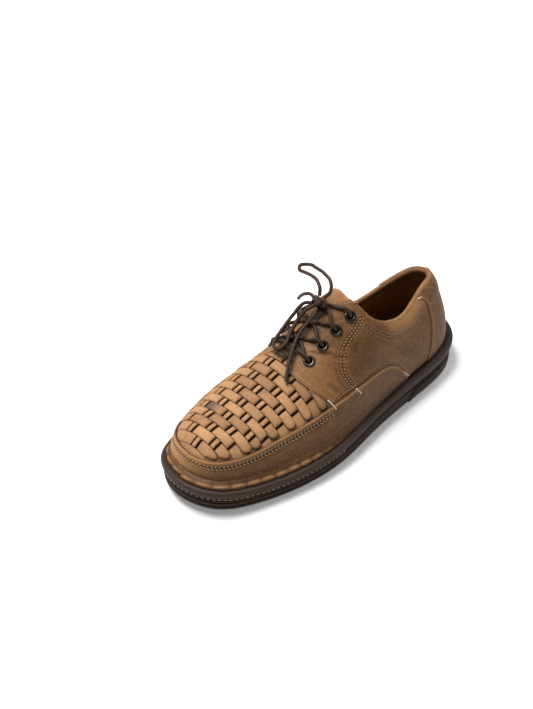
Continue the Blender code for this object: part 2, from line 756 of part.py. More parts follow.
def turned(builder, profile, centre, axis, sides):
    """Adds a closed ring turned round an axis from a closed profile of (radius, height) points."""
    frame = Vector(axis).to_track_quat("Z", "Y").to_matrix()
    loops = []
    for k in range(sides):
        angle = 2 * np.pi * k / sides
        ring = []
        for radius, height in profile:
            local = Vector((radius * np.cos(angle), radius * np.sin(angle), height))
            ring.append(builder.verts.new(Vector(centre) + frame @ local))
        loops.append(ring)
    for k in range(sides):
        near, far = loops[k], loops[(k + 1) % sides]
        for i in range(len(profile)):
            j = (i + 1) % len(profile)
            builder.faces.new([near[i], near[j], far[j], far[i]])


def drill(centres, normals, radius, low, high):
    """A cutter with one round bar for each hole."""
    builder = bmesh.new()
    for centre, normal in zip(centres, normals):
        middle = Vector(centre + normal * (low + high) / 2)
        turn = Vector(normal).to_track_quat("Z", "Y").to_matrix().to_4x4()
        bmesh.ops.create_cone(builder, cap_ends=True, segments=EYELET_SIDES, radius1=radius, radius2=radius,
                              depth=high - low, matrix=Matrix.Translation(middle) @ turn)
    return add_object("eyelet_holes", builder, None)


def make_eyelets(seats, finish):
    head = WALL + GAP
    profile = ((EYELET_BORE, -0.2), (EYELET_BARREL, -0.2), (EYELET_BARREL, head), (EYELET_FLANGE, head),
               (EYELET_FLANGE - 0.7, head + 0.8), (EYELET_BORE, head + 0.5))
    for side, (centres, normals) in seats.items():
        for k in range(4):
            builder = bmesh.new()
            turned(builder, profile, centres[k], normals[k], EYELET_SIDES)
            add_object("eyelet_%s_%d" % (side, k + 1), builder, finish)


def make_tongue(finish):
    rows = np.concatenate([np.linspace(TONGUE_ROOT, 130.0, 8), [125.0, TONGUE_TOP]])
    across = np.linspace(-1, 1, 9)
    x = across[None, :] * np.linspace(TONGUE_HALF - 5, TONGUE_HALF, len(rows))[:, None]
    d = np.broadcast_to(rows[:, None], x.shape) + 4.0 * across[None, :] ** 4 * (rows[:, None] < 128)
    top, normal = on_instep(x, d, np.full(x.shape, -TONGUE_DEPTH))
    outer = top[::-1]
    inner = (top - normal * TONGUE)[::-1]
    return shell("tongue", outer, inner, np.ones((len(rows) - 1, 8), bool), False, finish)


# Lace


def strand(start, end):
    """A path over the instep between two places, given as (offset from its line, station)."""
    t = np.linspace(0, 1, 7)
    offset, station = [a + (b - a) * t for a, b in zip(start, end)]
    return on_instep(offset, station, np.full(7, LACE_LIFT))[0]


def make_lace(finish):
    bars = []
    rows = EYELET_STATIONS
    side = EYELET_OFFSET
    bars.append(strand((side, rows[0]), (-side, rows[0])))
    for low, high in zip(rows, rows[1:]):
        bars.append(strand((side, low), (-side, high)))
        bars.append(strand((-side, low), (side, high)))
    made = []
    for k, path in enumerate(bars):
        made.append(tube("lace_bar_%d" % k if k else "lace_bars", path, LACE / 2, finish))
    combine(made[0], "UNION", *made[1:])

    knot = on_instep(np.array(0.0), np.array(KNOT_STATION), np.array(KNOT_LIFT))[0]
    builder = bmesh.new()
    bmesh.ops.create_uvsphere(builder, u_segments=12, v_segments=8, radius=1.0)
    bmesh.ops.scale(builder, vec=KNOT_RADII, verts=builder.verts)
    bmesh.ops.translate(builder, vec=knot, verts=builder.verts)
    add_object("lace_knot", builder, finish)
    for name, route in lace_routes(knot).items():
        free_cord(name, smooth_path(route, 2.2 * LACE), LACE / 2, finish)


def knot_face(step):
    """Where a cord that leaves the knot towards a step starts, just clear of the knot's face."""
    direction = np.array(step) / np.linalg.norm(step)
    reach = 1 / np.linalg.norm(direction / np.array(KNOT_RADII))
    return direction * (reach + GAP)


def lace_routes(knot):
    """Routes of the bow, as steps from the knot to the lateral side, the toe and upwards. Each
    starts at the knot's face, and a loop comes back to it."""
    routes = {
        "lace_loop_front": ((-11.0, 4.5, -3.8), (-14.6, 14.5, -12.6), (-14.2, 27.0, -20.0), (-12.5, 35.5, -23.8),
                            (-9.0, 41.0, -26.0), (-3.6, 40.5, -25.4), (-1.9, 35.5, -22.6), (-4.8, 27.0, -18.0),
                            (-6.8, 17.0, -11.8), (-5.0, 9.0, -5.0)),
        "lace_loop_back": ((3.5, -8.0, 7.0), (-0.5, -13.0, 12.5), (-9.0, -15.5, 14.5), (-20.0, -18.0, 13.5),
                           (-29.0, -18.8, 12.5), (-34.0, -14.0, 11.8), (-30.0, -8.6, 12.0), (-21.0, -8.2, 13.0),
                           (-11.5, -7.6, 12.8), (-4.0, -4.5, 9.5)),
        "lace_end_front": ((3.5, 9.5, -5.6), (2.2, 15.5, -10.8), (2.0, 23.0, -15.8), (4.1, 31.3, -21.3),
                           (7.9, 39.2, -26.6), (12.2, 47.0, -33.2), (16.7, 53.5, -39.0)),
        "lace_end_back": ((-11.0, -2.0, 1.0), (-18.0, -3.0, -2.5), (-25.0, -5.5, -9.0), (-30.4, -8.4, -15.8)),
    }
    toward = np.array([1.0, -1.0, 1.0])
    paths = {}
    for name, steps in routes.items():
        points = [knot_face(steps[0]), *steps]
        if "loop" in name:
            points.append(knot_face(steps[-1]))
        paths[name] = knot + np.array(points) * toward
    return paths


def smooth_path(points, spacing):
    """Evenly spaced points on the smooth curve through a route."""
    p = np.asarray(points, float)
    run = np.concatenate([[0], np.cumsum(np.linalg.norm(np.diff(p, axis=0), axis=1))])
    curve = Sections(("run", "x", "y", "z"), *np.column_stack([run, p]))
    count = max(int(run[-1] / spacing) + 1, 5)
    where = np.linspace(0, run[-1], count)
    return np.stack([curve.at(axis, where) for axis in "xyz"], 1)


def main():
    for old in list(bpy.data.objects):
        bpy.data.objects.remove(old)
    finishes = make_materials()
    make_sole(finishes["rubber"])
    make_insole(finishes["lining"])
    upper = make_band(finishes["leather"])
    combine(upper, "UNION", make_apron(finishes["leather"]))
    seats = eyelet_seats()
    centres = np.concatenate([seats[side][0] for side in seats])
    normals = np.concatenate([seats[side][1] for side in seats])
    combine(upper, "DIFFERENCE", drill(centres, normals, EYELET_BARREL + GAP, -3.0, 6.0))
    make_tongue(finishes["leather"])
    make_eyelets(seats, finishes["metal"])
    make_lace(finishes["cord"])


if __name__ == "__main__":
    main()
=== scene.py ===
"""Looks of the woven leather derby, left foot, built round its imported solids.

Sizes are in millimetres until a mesh is made. The toe points to -Y, the lateral side to +X, and a
station is a distance from the back of the sole's tread. Round the shoe, u is the share of the
feather line from the heel back, and t goes up a section of the last from feather line to ridge.
"""

import math

import bpy
import numpy as np
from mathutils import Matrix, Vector


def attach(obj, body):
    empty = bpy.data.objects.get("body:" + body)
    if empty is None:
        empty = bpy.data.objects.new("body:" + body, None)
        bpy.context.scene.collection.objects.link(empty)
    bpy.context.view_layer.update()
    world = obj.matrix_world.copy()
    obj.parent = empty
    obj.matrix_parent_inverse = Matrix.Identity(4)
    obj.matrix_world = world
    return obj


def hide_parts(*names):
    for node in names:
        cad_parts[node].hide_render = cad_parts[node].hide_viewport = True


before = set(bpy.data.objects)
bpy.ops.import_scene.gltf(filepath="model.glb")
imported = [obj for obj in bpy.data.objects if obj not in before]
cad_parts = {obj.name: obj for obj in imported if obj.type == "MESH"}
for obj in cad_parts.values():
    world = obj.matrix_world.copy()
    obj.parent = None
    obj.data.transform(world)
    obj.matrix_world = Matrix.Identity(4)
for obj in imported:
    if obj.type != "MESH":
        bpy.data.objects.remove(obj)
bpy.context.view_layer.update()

MM = 0.001
GAP = 0.3
PHOTO_HEIGHT = 709

# Camera, as fitted to the shoe in the photograph's frame
CAMERA_AZIMUTH = 45.162
CAMERA_ELEVATION = 37.817
CAMERA_DISTANCE = 1155.3
CAMERA_FOCUS = 1409.6  # in pixels
CAMERA_ASIDE = (41.911, -50.202)  # how far the view's middle lies from the shoe's origin

# Sole
SOLE_LENGTH = 300.0
LIP_OVERHANG = 1.5
LAYER_SPLIT = 0.52
OUTSOLE_OVER_HEEL = 3.0
HEEL_FRONT = 84.0
HEEL_ROUND = 14.0
HEEL_BACK_STEP = 83.6

# Upper
WALL = 2.4
RAISED_EDGE = 0.9
COLLAR_PAD = 18.0
COLLAR_SWELL_OUT = 1.0
COLLAR_SWELL_IN = 2.6
COUNTER_RISE = 0.9
HEEL_TUCK = 3.0
SEAM_GROOVE = 0.45  # how deep a stitch row pulls the leather in
APRON_SEAM_DROP = 3.4  # how far the apron's seam lies below the mudguard's edge
PUCKER = 11.5  # pitch of the flange's puckers
SPINE_HEEL = 32.0
SPINE_TOE = 250.0
QUARTER_FRONT = 175.0
QUARTER_SKEW = 15.0
QUARTER_REACH = 47.6  # how far back the front edge's skew fades out
TAB_STATION = 116.0
PANEL_BACK = 87.0  # where the side panel of the mudguard runs out at the sole

# Weave of the apron
COURSE = 8.25
WARP_PITCH = 12.2
WARP_WIDTH = 3.6
SLIT = 1.5
COURSES = 16
WARPS = 8
WEAVE_ASIDE = 0.6  # how far the weave's middle lies to the lateral side of the instep line
WEAVE_END = 135.6
APRON_BACK = 166.0
THROAT_BACK = 182.0
THROAT_HALF = 20.0

# Lacing
EYELET_STATIONS = (174.0, 159.5, 145.0, 130.5)
EYELET_OFFSET = 18.5
EYELET_FLANGE = 4.9
EYELET_BORE = 2.5
LACE = 2.9
LACE_LIFT = 5.7
KNOT_STATION = 140.0
KNOT_LIFT = 11.2
KNOT_RADII = (6.0, 4.6, 4.4)

# Tongue and insole
TONGUE = 2.2
TONGUE_DEPTH = 1.9
TONGUE_HALF = 27.0
TONGUE_ROOT = 200.0
TONGUE_TOP = 120.0
INSOLE = 3.0
INSOLE_INSET = 1.2


class Sections:
    """A short table with a row for each section, read smoothly between its rows."""

    def __init__(self, columns, *rows):
        values = np.array(rows, float)
        self.stations = values[:, 0]
        self.columns = dict(zip(columns[1:], values.T[1:]))

    def at(self, column, station):
        x, y = self.stations, self.columns[column]
        slope = np.gradient(y, x)
        station = np.clip(station, x[0], x[-1])
        i = np.clip(np.searchsorted(x, station, side="right") - 1, 0, len(x) - 2)
        step = x[i + 1] - x[i]
        t = (station - x[i]) / step
        ends = (2 * t**3 - 3 * t**2 + 1) * y[i] + (3 * t**2 - 2 * t**3) * y[i + 1]
        return ends + step * ((t**3 - 2 * t**2 + t) * slope[i] + (t**3 - t**2) * slope[i + 1])


TREAD_OUTLINE = (
    (0.0, 0.0), (13.5, 26.0), (48.0, 39.0), (90.0, 42.5), (135.0, 47.5), (180.0, 54.0),
    (222.0, 51.0), (261.0, 40.5), (289.5, 25.0), (300.0, -5.0), (289.5, -32.5), (261.0, -48.0),
    (222.0, -55.0), (180.0, -50.0), (135.0, -40.5), (90.0, -36.5), (48.0, -37.0), (13.5, -26.0),
)

SOLE = Sections(
    ("station", "floor", "top", "lateral_inset", "medial_inset"),
    (0.0, 0.0, 26.5, 6.0, 6.0),
    (60.0, 0.0, 25.5, 6.0, 6.0),
    (130.0, 0.0, 23.0, 6.0, 6.0),
    (180.0, 0.0, 21.0, 8.5, 6.0),
    (220.0, 0.0, 19.5, 10.0, 7.0),
    (255.0, 0.9, 20.0, 10.5, 8.0),
    (280.0, 3.2, 22.5, 11.0, 8.0),
    (300.0, 6.2, 26.0, 11.0, 11.0),
)

LAST = Sections(
    ("station", "centre", "ridge", "bulge", "lift", "lateral_crown", "medial_crown", "crown_lift", "end"),
    (32.0, -0.5, 108.0, 1.06, 0.30, 0.58, 0.54, 0.62, 0.04),
    (80.0, -1.0, 109.0, 1.06, 0.30, 0.66, 0.60, 0.64, 0.15),
    (110.0, -4.0, 109.0, 1.04, 0.34, 0.57, 0.56, 1.0, 0.0),
    (131.0, -6.0, 104.5, 1.02, 0.38, 0.58, 0.66, 1.0, 0.0),
    (155.0, -7.0, 90.5, 1.01, 0.40, 0.59, 0.71, 1.0, 0.0),
    (178.0, -7.5, 77.5, 1.01, 0.42, 0.60, 0.74, 1.0, 0.0),
    (195.0, -9.0, 69.5, 1.01, 0.45, 0.62, 0.78, 1.0, 0.0),
    (212.0, -11.0, 62.5, 1.01, 0.49, 0.66, 0.80, 1.0, 0.0),
    (232.0, -12.0, 56.5, 1.01, 0.55, 0.72, 0.80, 1.0, 0.0),
    (250.0, -11.0, 53.5, 1.01, 0.60, 0.79, 0.79, 1.0, 0.0),
)

LINES = Sections(
    ("station", "lateral_seam", "medial_seam", "lateral_topline", "medial_topline", "gap"),
    (0.0, 3.0, 3.0, 85.0, 85.0, 4.0),
    (25.0, 3.0, 3.0, 86.0, 82.0, 4.0),
    (45.0, 3.0, 3.0, 85.0, 76.0, 4.0),
    (60.0, 3.0, 3.0, 81.0, 72.0, 4.0),
    (76.0, 3.0, 3.0, 77.3, 69.5, 4.0),
    (86.0, 3.0, 3.0, 77.8, 69.5, 4.0),
    (94.0, 13.0, 13.0, 80.2, 71.5, 4.0),
    (104.0, 22.5, 22.0, 84.0, 76.5, 8.0),
    (110.0, 25.5, 25.0, 87.4, 82.0, 12.0),
    (TAB_STATION, 26.8, 26.5, 93.5, 92.0, 12.5),
    (121.0, 27.5, 27.5, 103.0, 102.0, 10.5),
    (130.0, 28.0, 28.0, 115.0, 115.0, 7.0),
    (140.0, 28.0, 28.5, 140.0, 140.0, 5.6),
    (178.0, 26.5, 29.0, 140.0, 140.0, 10.0),
    (195.0, 25.0, 28.0, 140.0, 140.0, 18.0),
    (230.0, 22.0, 24.5, 140.0, 140.0, 18.0),
    (265.0, 18.5, 19.5, 140.0, 140.0, 18.0),
    (300.0, 15.5, 15.5, 140.0, 140.0, 18.0),
)

# Front edge of the heel counter: its station by height above the floor
COUNTER_LINE = Sections(
    ("height", "station"),
    (24.0, 59.0), (31.5, 56.8), (40.3, 53.3), (53.5, 48.4), (65.0, 46.4), (77.0, 48.9), (88.0, 57.8),
)


def by_side(table, column, u, toe, station):
    lateral = np.mod(u, 1) <= toe
    return np.where(lateral, table.at("lateral_" + column, station), table.at("medial_" + column, station))


def closed_spline(knots, per_span):
    """Points on the smooth closed curve through the knots."""
    p = np.array(knots, float)
    n = len(p)
    span = np.linalg.norm(np.roll(p, -1, 0) - p, axis=1)
    before = np.roll(span, 1)
    system = np.zeros((n, n))
    target = np.zeros((n, p.shape[1]))
    for i in range(n):
        j = (i + 1) % n
        system[i, i - 1] += span[i]
        system[i, i] += 2 * (span[i] + before[i])
        system[i, j] += before[i]
        target[i] = 3 * (span[i] / before[i] * (p[i] - p[i - 1]) + before[i] / span[i] * (p[j] - p[i]))
    slope = np.linalg.solve(system, target)
    t = np.linspace(0, 1, per_span, endpoint=False)[:, None]
    pieces = []
    for i in range(n):
        j = (i + 1) % n
        ends = (2 * t**3 - 3 * t**2 + 1) * p[i] + (3 * t**2 - 2 * t**3) * p[j]
        turns = (t**3 - 2 * t**2 + t) * slope[i] + (t**3 - t**2) * slope[j]
        pieces.append(ends + span[i] * turns)
    return np.concatenate(pieces)


class Outline:
    """A closed outline of (x, station) points, read by share of its length from the heel back."""

    def __init__(self, points):
        start = np.argmin(points[:, 1])
        points = np.roll(points, -start, 0)
        steps = np.linalg.norm(np.roll(points, -1, 0) - points, axis=1)
        self.length = steps.sum()
        self.share = np.concatenate([[0], np.cumsum(steps)[:-1]]) / self.length
        self.points = points
        along = np.roll(points, -1, 0) - np.roll(points, 1, 0)
        along /= np.linalg.norm(along, axis=1)[:, None]
        self.outward = np.stack([along[:, 1], -along[:, 0]], 1)
        self.toe = self.share[np.argmax(points[:, 1])]

    def read(self, values, u):
        return np.interp(np.mod(u, 1), self.share, values, period=1)

    def at(self, u, outset=0.0):
        x = self.read(self.points[:, 0], u) + outset * self.read(self.outward[:, 0], u)
        d = self.read(self.points[:, 1], u) + outset * self.read(self.outward[:, 1], u)
        return x, d

    def side(self, lateral, station):
        """Share of the outline where one side passes a station."""
        lat = self.share <= self.toe
        pick = lat if lateral else ~lat
        share, stations = self.share[pick], self.points[pick, 1]
        order = np.argsort(stations)
        return np.interp(station, stations[order], share[order])


def tread_outline():
    knots = [(offset, station) for station, offset in TREAD_OUTLINE]
    points = closed_spline(knots, 40)
    points[:, 0] -= (points[:, 0].max() + points[:, 0].min()) / 2
    return Outline(points)


TREAD = tread_outline()


def feather_outline():
    """Where the inside of the upper meets the sole."""
    x, station = TREAD.at(TREAD.share)
    inset = by_side(SOLE, "inset", TREAD.share, TREAD.toe, station)
    return Outline(np.stack([x, station], 1) - TREAD.outward * inset[:, None])


FEATHER = feather_outline()


def smooth(t):
    t = np.clip(t, 0, 1)
    return t * t * (3 - 2 * t)


def section(u, spine, t):
    """Width share and height share of the last's section at t, from feather line to ridge."""
    s = 1 - t
    bulge, lift, crown_lift, end = [LAST.at(name, spine) for name in ("bulge", "lift", "crown_lift", "end")]
    crown = by_side(LAST, "crown", u, FEATHER.toe, spine)
    wide = s**3 + 3 * s * s * t * bulge + 3 * s * t * t * crown + t**3 * end
    high = 3 * s * s * t * lift + 3 * s * t * t * crown_lift + t**3
    return wide, high


def spine_of(station):
    spine = np.clip(station, SPINE_HEEL, SPINE_TOE)
    return LAST.at("centre", spine), spine


def place(x, station, z):
    x, station, z = np.broadcast_arrays(x, station, z)
    return np.stack([x, SOLE_LENGTH / 2 - station, z], -1)


def last_point(u, t):
    """The last's surface, which is the lining face of the upper."""
    foot_x, foot_d = FEATHER.at(u)
    spine_x, spine_d = spine_of(foot_d)
    wide, high = section(u, spine_d, t)
    rim = SOLE.at("top", foot_d) + GAP
    rise = LAST.at("ridge", spine_d) - rim
    x = spine_x + (foot_x - spine_x) * wide
    station = spine_d + (foot_d - spine_d) * wide
    return place(x, station, rim + rise * high)


def solve_up(value, low, high, target):
    """The t between low and high where a rising function of t reaches its target."""
    low = np.broadcast_to(low, np.shape(target)).astype(float)
    high = np.broadcast_to(high, np.shape(target)).astype(float)
    for _ in range(30):
        middle = (low + high) / 2
        short = value(middle) < target
        low = np.where(short, middle, low)
        high = np.where(short, high, middle)
    return (low + high) / 2


def t_at_height(u, z):
    return solve_up(lambda t: last_point(u, t)[..., 2], 0.0, 1.0, z)


def t_at_offset(u, offset):
    """Where the section comes within an offset of the instep line."""
    foot_x, foot_d = FEATHER.at(u)
    spine_x, spine_d = spine_of(foot_d)
    share = offset / np.hypot(foot_x - spine_x, foot_d - spine_d)
    return solve_up(lambda t: -section(u, spine_d, t)[0], 0.25, 1.0, -share)


def seam_t(u):
    """The apron seam, and behind it the line where quarter and mudguard meet."""
    foot_d = FEATHER.at(u)[1]
    return t_at_height(u, SOLE.at("top", foot_d) + by_side(LINES, "seam", u, FEATHER.toe, foot_d))


def top_t(u):
    """The upper's free edge: the collar, then up round the tab and along the throat."""
    foot_d = FEATHER.at(u)[1]
    topline = by_side(LINES, "topline", u, FEATHER.toe, foot_d)
    return np.minimum(t_at_height(u, topline), t_at_offset(u, LINES.at("gap", foot_d)))


def locate(x, station):
    """(u, t) of the last's surface over a plan point in front of the heel."""
    spine_x, spine_d = spine_of(station)
    foot_x, foot_d = FEATHER.at(FEATHER.share)
    u = np.where(x >= spine_x, FEATHER.side(True, station), FEATHER.side(False, station))
    fan = foot_d > SPINE_TOE
    toe_x = LAST.at("centre", SPINE_TOE)
    bearing = np.arctan2(foot_x[fan] - toe_x, foot_d[fan] - SPINE_TOE)
    order = np.argsort(bearing)
    turned = np.interp(np.arctan2(x - toe_x, station - SPINE_TOE), bearing[order], FEATHER.share[fan][order])
    u = np.where(station > SPINE_TOE, turned, u)
    edge_x, edge_d = FEATHER.at(u)
    reach = np.hypot(edge_x - spine_x, edge_d - spine_d)
    share = np.hypot(x - spine_x, station - spine_d) / np.maximum(reach, 1.0)
    return u, solve_up(lambda t: -section(u, spine_d, t)[0], 0.2, 1.0, -share), share


def last_normal(u, t):
    """Outward unit normal of the last's surface."""
    du, dt = 0.0008, 0.004
    t = np.minimum(t, 0.97)
    low, high = np.maximum(t - dt, 0), t + dt
    round_ = last_point(u + du, t) - last_point(u - du, t)
    up = last_point(u, high) - last_point(u, low)
    return unit(np.cross(up, round_))


def last_up(u, t):
    """Unit direction up the section."""
    return unit(last_point(u, np.minimum(t + 0.006, 1)) - last_point(u, np.maximum(t - 0.006, 0)))


def unit(v):
    return v / np.maximum(np.linalg.norm(v, axis=-1, keepdims=True), 1e-9)


def run_along(path):
    """Length of a path up to each of its points."""
    return np.concatenate([[0], np.cumsum(np.linalg.norm(np.diff(path, axis=0), axis=1))])


def band(distance, width):
    """A soft band round distance zero: 1 there, fading out over about the width."""
    return np.exp(-(distance / width) ** 2)


def on_instep(x_from_line, station, rise):
    """A point above the last near the instep line, and the surface normal there."""
    centre = LAST.at("centre", station)
    u, t, _ = locate(centre + x_from_line, np.asarray(station, float))
    normal = last_normal(u, t)
    return last_point(u, t) + normal * np.asarray(rise)[..., None], normal


# Materials


def linear(code):
    """An sRGB hex colour as linear RGBA."""
    channels = [int(code[k:k + 2], 16) / 255 for k in (1, 3, 5)]
    return (*[c / 12.92 if c <= 0.04045 else ((c + 0.055) / 1.055) ** 2.4 for c in channels], 1.0)


def darker(code, share):
    """A share of the light of an sRGB hex colour, as linear RGBA."""
    return (*[share * c for c in linear(code)[:3]], 1.0)


def fill(tree, node, inputs):
    """Sets or links inputs of a node."""
    for key, value in inputs.items():
        if isinstance(value, bpy.types.NodeSocket):
            tree.links.new(value, node.inputs[key])
        else:
            node.inputs[key].default_value = value


def add_node(tree, kind, settings=None, inputs=None):
    """Adds a node with its settings, and sets or links its inputs."""
    node = tree.nodes.new(kind)
    for key, value in (settings or {}).items():
        setattr(node, key, value)
    fill(tree, node, inputs or {})
    return node


def new_material(name):
    made = bpy.data.materials.new(name)
    made.use_nodes = True
    tree = made.node_tree
    return made, tree, tree.nodes["Principled BSDF"]


def noise(tree, size_mm, **inputs):
    """A noise on the shoe whose features are about that many millimetres across."""
    where = add_node(tree, "ShaderNodeTexCoord").outputs["Object"]
    inputs = {"Vector": where, "Scale": 1 / (size_mm * MM), **inputs}
    return add_node(tree, "ShaderNodeTexNoise", None, inputs).outputs["Fac"]


def remap(tree, value, limits):
    return add_node(tree, "ShaderNodeMapRange", None, {"Value": value, **limits}).outputs[0]


def attribute(tree, name):
    return add_node(tree, "ShaderNodeAttribute", {"attribute_name": name}).outputs["Fac"]


def bump(tree, height, strength, depth_mm, **inputs):
    inputs = {"Height": height, "Strength": strength, "Distance": depth_mm * MM, **inputs}
    return add_node(tree, "ShaderNodeBump", None, inputs).outputs["Normal"]


def blend(tree, share, low, high):
    """A colour mix of two colours or sockets."""
    return add_node(tree, "ShaderNodeMix", {"data_type": "RGBA"}, {0: share, 6: low, 7: high}).outputs[2]


def leather(name, body, rubbed_and_lit, deep, roughness, grain_mm, mottle):
    """Waxed nubuck: a dry brushed face that is cloudy in tone. A mark makes it paler where it is rubbed
    and, as painted light, where light falls on it; the shade mark paints shade into folds, hollows and
    gaps. Its true grain is under half a millimetre, so it is drawn coarser to show."""
    made, tree, shader = new_material(name)
    cloud = noise(tree, 14, Detail=5.0, Roughness=0.62)
    nap = noise(tree, grain_mm, Detail=3.0, Roughness=0.65)
    pull = noise(tree, 7, Detail=3.0, Distortion=0.6)
    cloud_share = remap(tree, cloud, {"From Min": 0.35, "From Max": 0.68})
    nap_share = remap(tree, nap, {"From Min": 0.36, "From Max": 0.66, "To Max": mottle})
    tone = blend(tree, cloud_share, darker(body, 0.58), linear(body))
    tone = blend(tree, nap_share, tone, linear(rubbed_and_lit))
    # Paler by the first mark, for wear and painted light; greyer where scuffed; darker by the shade mark, for
    # painted shade.
    for mark, colour in (("wear", rubbed_and_lit), ("scuff", SCUFF_GREY), ("shade", deep)):
        tone = blend(tree, attribute(tree, mark), tone, linear(colour))
    relief = bump(tree, pull, 0.25, 1.2, Normal=bump(tree, nap, 0.22, 0.4))
    fill(tree, shader,
         {"Base Color": tone, "Roughness": roughness, "Specular IOR Level": 0.2, "Normal": relief})
    return made


def rubber(name, body, dust_and_highlight):
    """Moulded rubber: satin, with dust and painted highlights on its standing edges, and a fine moulded
    grain.
    """
    made, tree, shader = new_material(name)
    cloud = noise(tree, 22, Detail=5.0, Roughness=0.6)
    relief = bump(tree, noise(tree, 1.2, Detail=2.0), 0.15, 0.3)
    tone = blend(tree, cloud, darker(body, 0.8), linear(body))
    tone = blend(tree, attribute(tree, "wear"), tone, linear(dust_and_highlight))
    rough = remap(tree, cloud, {"To Min": 0.5, "To Max": 0.7})
    fill(tree, shader, {"Base Color": tone, "Roughness": rough, "Specular IOR Level": 0.16, "Normal": relief})
    return made


def gunmetal(name, dark, polished):
    """Dark plated steel: reflective, cloudy between a dark and a polished tone."""
    made, tree, shader = new_material(name)
    cloud = noise(tree, 3, Detail=3.0)
    tone = blend(tree, cloud, linear(dark), linear(polished))
    rough = remap(tree, cloud, {"To Min": 0.24, "To Max": 0.42})
    fill(tree, shader, {"Base Color": tone, "Metallic": 1.0, "Roughness": rough})
    return made


def cord_finish(name, body, worn):
    """Waxed cotton cord: dull brown yarns with a thin wax film, paler on top of the yarns."""
    made, tree, shader = new_material(name)
    yarn = noise(tree, 1.1, Detail=2.0)
    tone = blend(tree, attribute(tree, "wear"), linear(body), linear(worn))
    tone = blend(tree, yarn, darker(body, 0.75), tone)
    relief = bump(tree, yarn, 0.3, 0.3)
    fill(tree, shader, {"Base Color": tone, "Roughness": 0.55, "Specular IOR Level": 0.2, "Normal": relief})
    return made


def thread_finish(name, body):
    """Waxed polyester thread: pale, twisted, slightly glossy."""
    made, tree, shader = new_material(name)
    tone = blend(tree, noise(tree, 2.5, Detail=2.0), darker(body, 0.6), linear(body))
    fill(tree, shader, {"Base Color": tone, "Roughness": 0.6})
    return made


SCUFF_GREY = "#54483f"


quarter_leather = leather("waxed_nubuck", "#694528", "#a67a4d", "#140b05", 0.6, 1.9, 0.34)
weave_leather = leather("woven_nubuck", "#946b47", "#b98d62", "#0f0804", 0.66, 1.6, 0.42)
lining_leather = leather("lining_leather", "#8f6540", "#b08555", "#120a05", 0.55, 1.4, 0.3)
# Near-black lining under the weave: painted shade, so the slits read black.
painted_shade_lining = leather("painted_shade_lining_leather", "#24170e", "#352418", "#050302", 0.7, 1.4, 0.3)
sole_rubber = rubber("brown_rubber", "#32261f", "#5d4c42")
eyelet_metal = gunmetal("gunmetal", "#2b2724", "#57504a")
lace_cord = cord_finish("waxed_cord", "#2b1d15", "#4d392b")
pale_thread = thread_finish("pale_thread", "#a5835c")
tack_thread = thread_finish("tack_thread", "#dcc7ad")
sole_thread = thread_finish("sole_thread", "#b59a82")


# Mesh making


def wall_mesh(outer, inner, cells=None, lined=None):
    """Points, quads and lining marks of a closed wall between two grids. cells marks the squares
    that are there, lined those whose inner face is lining."""
    rows, columns = outer.shape[:2]
    total = rows * columns
    if cells is None:
        cells = np.ones((rows - 1, columns - 1), bool)
    number = np.arange(total).reshape(rows, columns)
    a, b = number[:-1, :-1], number[:-1, 1:]
    c, d = number[1:, 1:], number[1:, :-1]
    front = np.stack([a, b, c, d], -1)[cells]
    ring = np.pad(cells, 1)
    rims = []
    beside = (
        (ring[:-2, 1:-1], a, b),
        (ring[1:-1, 2:], b, c),
        (ring[2:, 1:-1], c, d),
        (ring[1:-1, :-2], d, a),
    )
    for there, p, q in beside:
        bare = cells & ~there
        rims.append(np.stack([q[bare], p[bare], p[bare] + total, q[bare] + total], -1))
    faces = np.concatenate([front, front[:, ::-1] + total, *rims])
    lining = np.zeros(len(faces), int)
    lining[len(front):2 * len(front)] = 1 if lined is None else lined[cells]
    return np.concatenate([outer.reshape(-1, 3), inner.reshape(-1, 3)]), faces, lining


def signed_volume(points, faces):
    p = [points[faces[:, k]] for k in range(4)]
    first = np.einsum("ij,ij->i", p[0], np.cross(p[1], p[2]))
    second = np.einsum("ij,ij->i", p[0], np.cross(p[2], p[3]))
    return (first + second).sum()


def add_piece(name, points, faces, finishes, marks=None, values=None, caps=()):
    """A smooth piece from points in millimetres and quads, with any end caps, on the shoe's body."""
    if signed_volume(points, faces) < 0:
        faces = faces[:, ::-1]
        caps = [cap[::-1] for cap in caps]
    used, numbers = np.unique(faces, return_inverse=True)
    renumber = np.full(len(points), -1)
    renumber[used] = np.arange(len(used))
    loops = numbers.reshape(faces.shape).tolist() + [renumber[cap].tolist() for cap in caps]
    mesh = bpy.data.meshes.new(name)
    mesh.from_pydata((points[used] * MM).tolist(), [], loops)
    for finish in finishes:
        mesh.materials.append(finish)
    if marks is not None:
        mesh.polygons.foreach_set("material_index", marks.tolist() + [0] * len(caps))
    for key, value in (values or {}).items():
        layer = mesh.attributes.new(key, "FLOAT", "POINT")
        layer.data.foreach_set("value", np.asarray(value, np.float32).ravel()[used])
    mesh.shade_smooth()
    mesh.set_sharp_from_angle(angle=math.radians(55))
    mesh.update()
    piece = bpy.data.objects.new(name, mesh)
    bpy.context.scene.collection.objects.link(piece)
    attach(piece, "root")
    return piece


def add_wall(name, outer, inner, finishes, values, cells=None, lined=None):
    points, faces, lining = wall_mesh(outer, inner, cells, lined)
    marks = lining if len(finishes) > 1 else None
    return add_piece(name, points, faces, finishes, marks, values)


def face_values(wear, shade, inner_wear, inner_shade):
    """Wear and painted light, and painted shade, of a wall's outer face and of its inner face."""
    wear, shade = np.array(wear), np.array(shade)
    return {"wear": np.array([wear, inner_wear + 0 * wear]),
            "shade": np.array([shade, inner_shade + 0 * shade])}


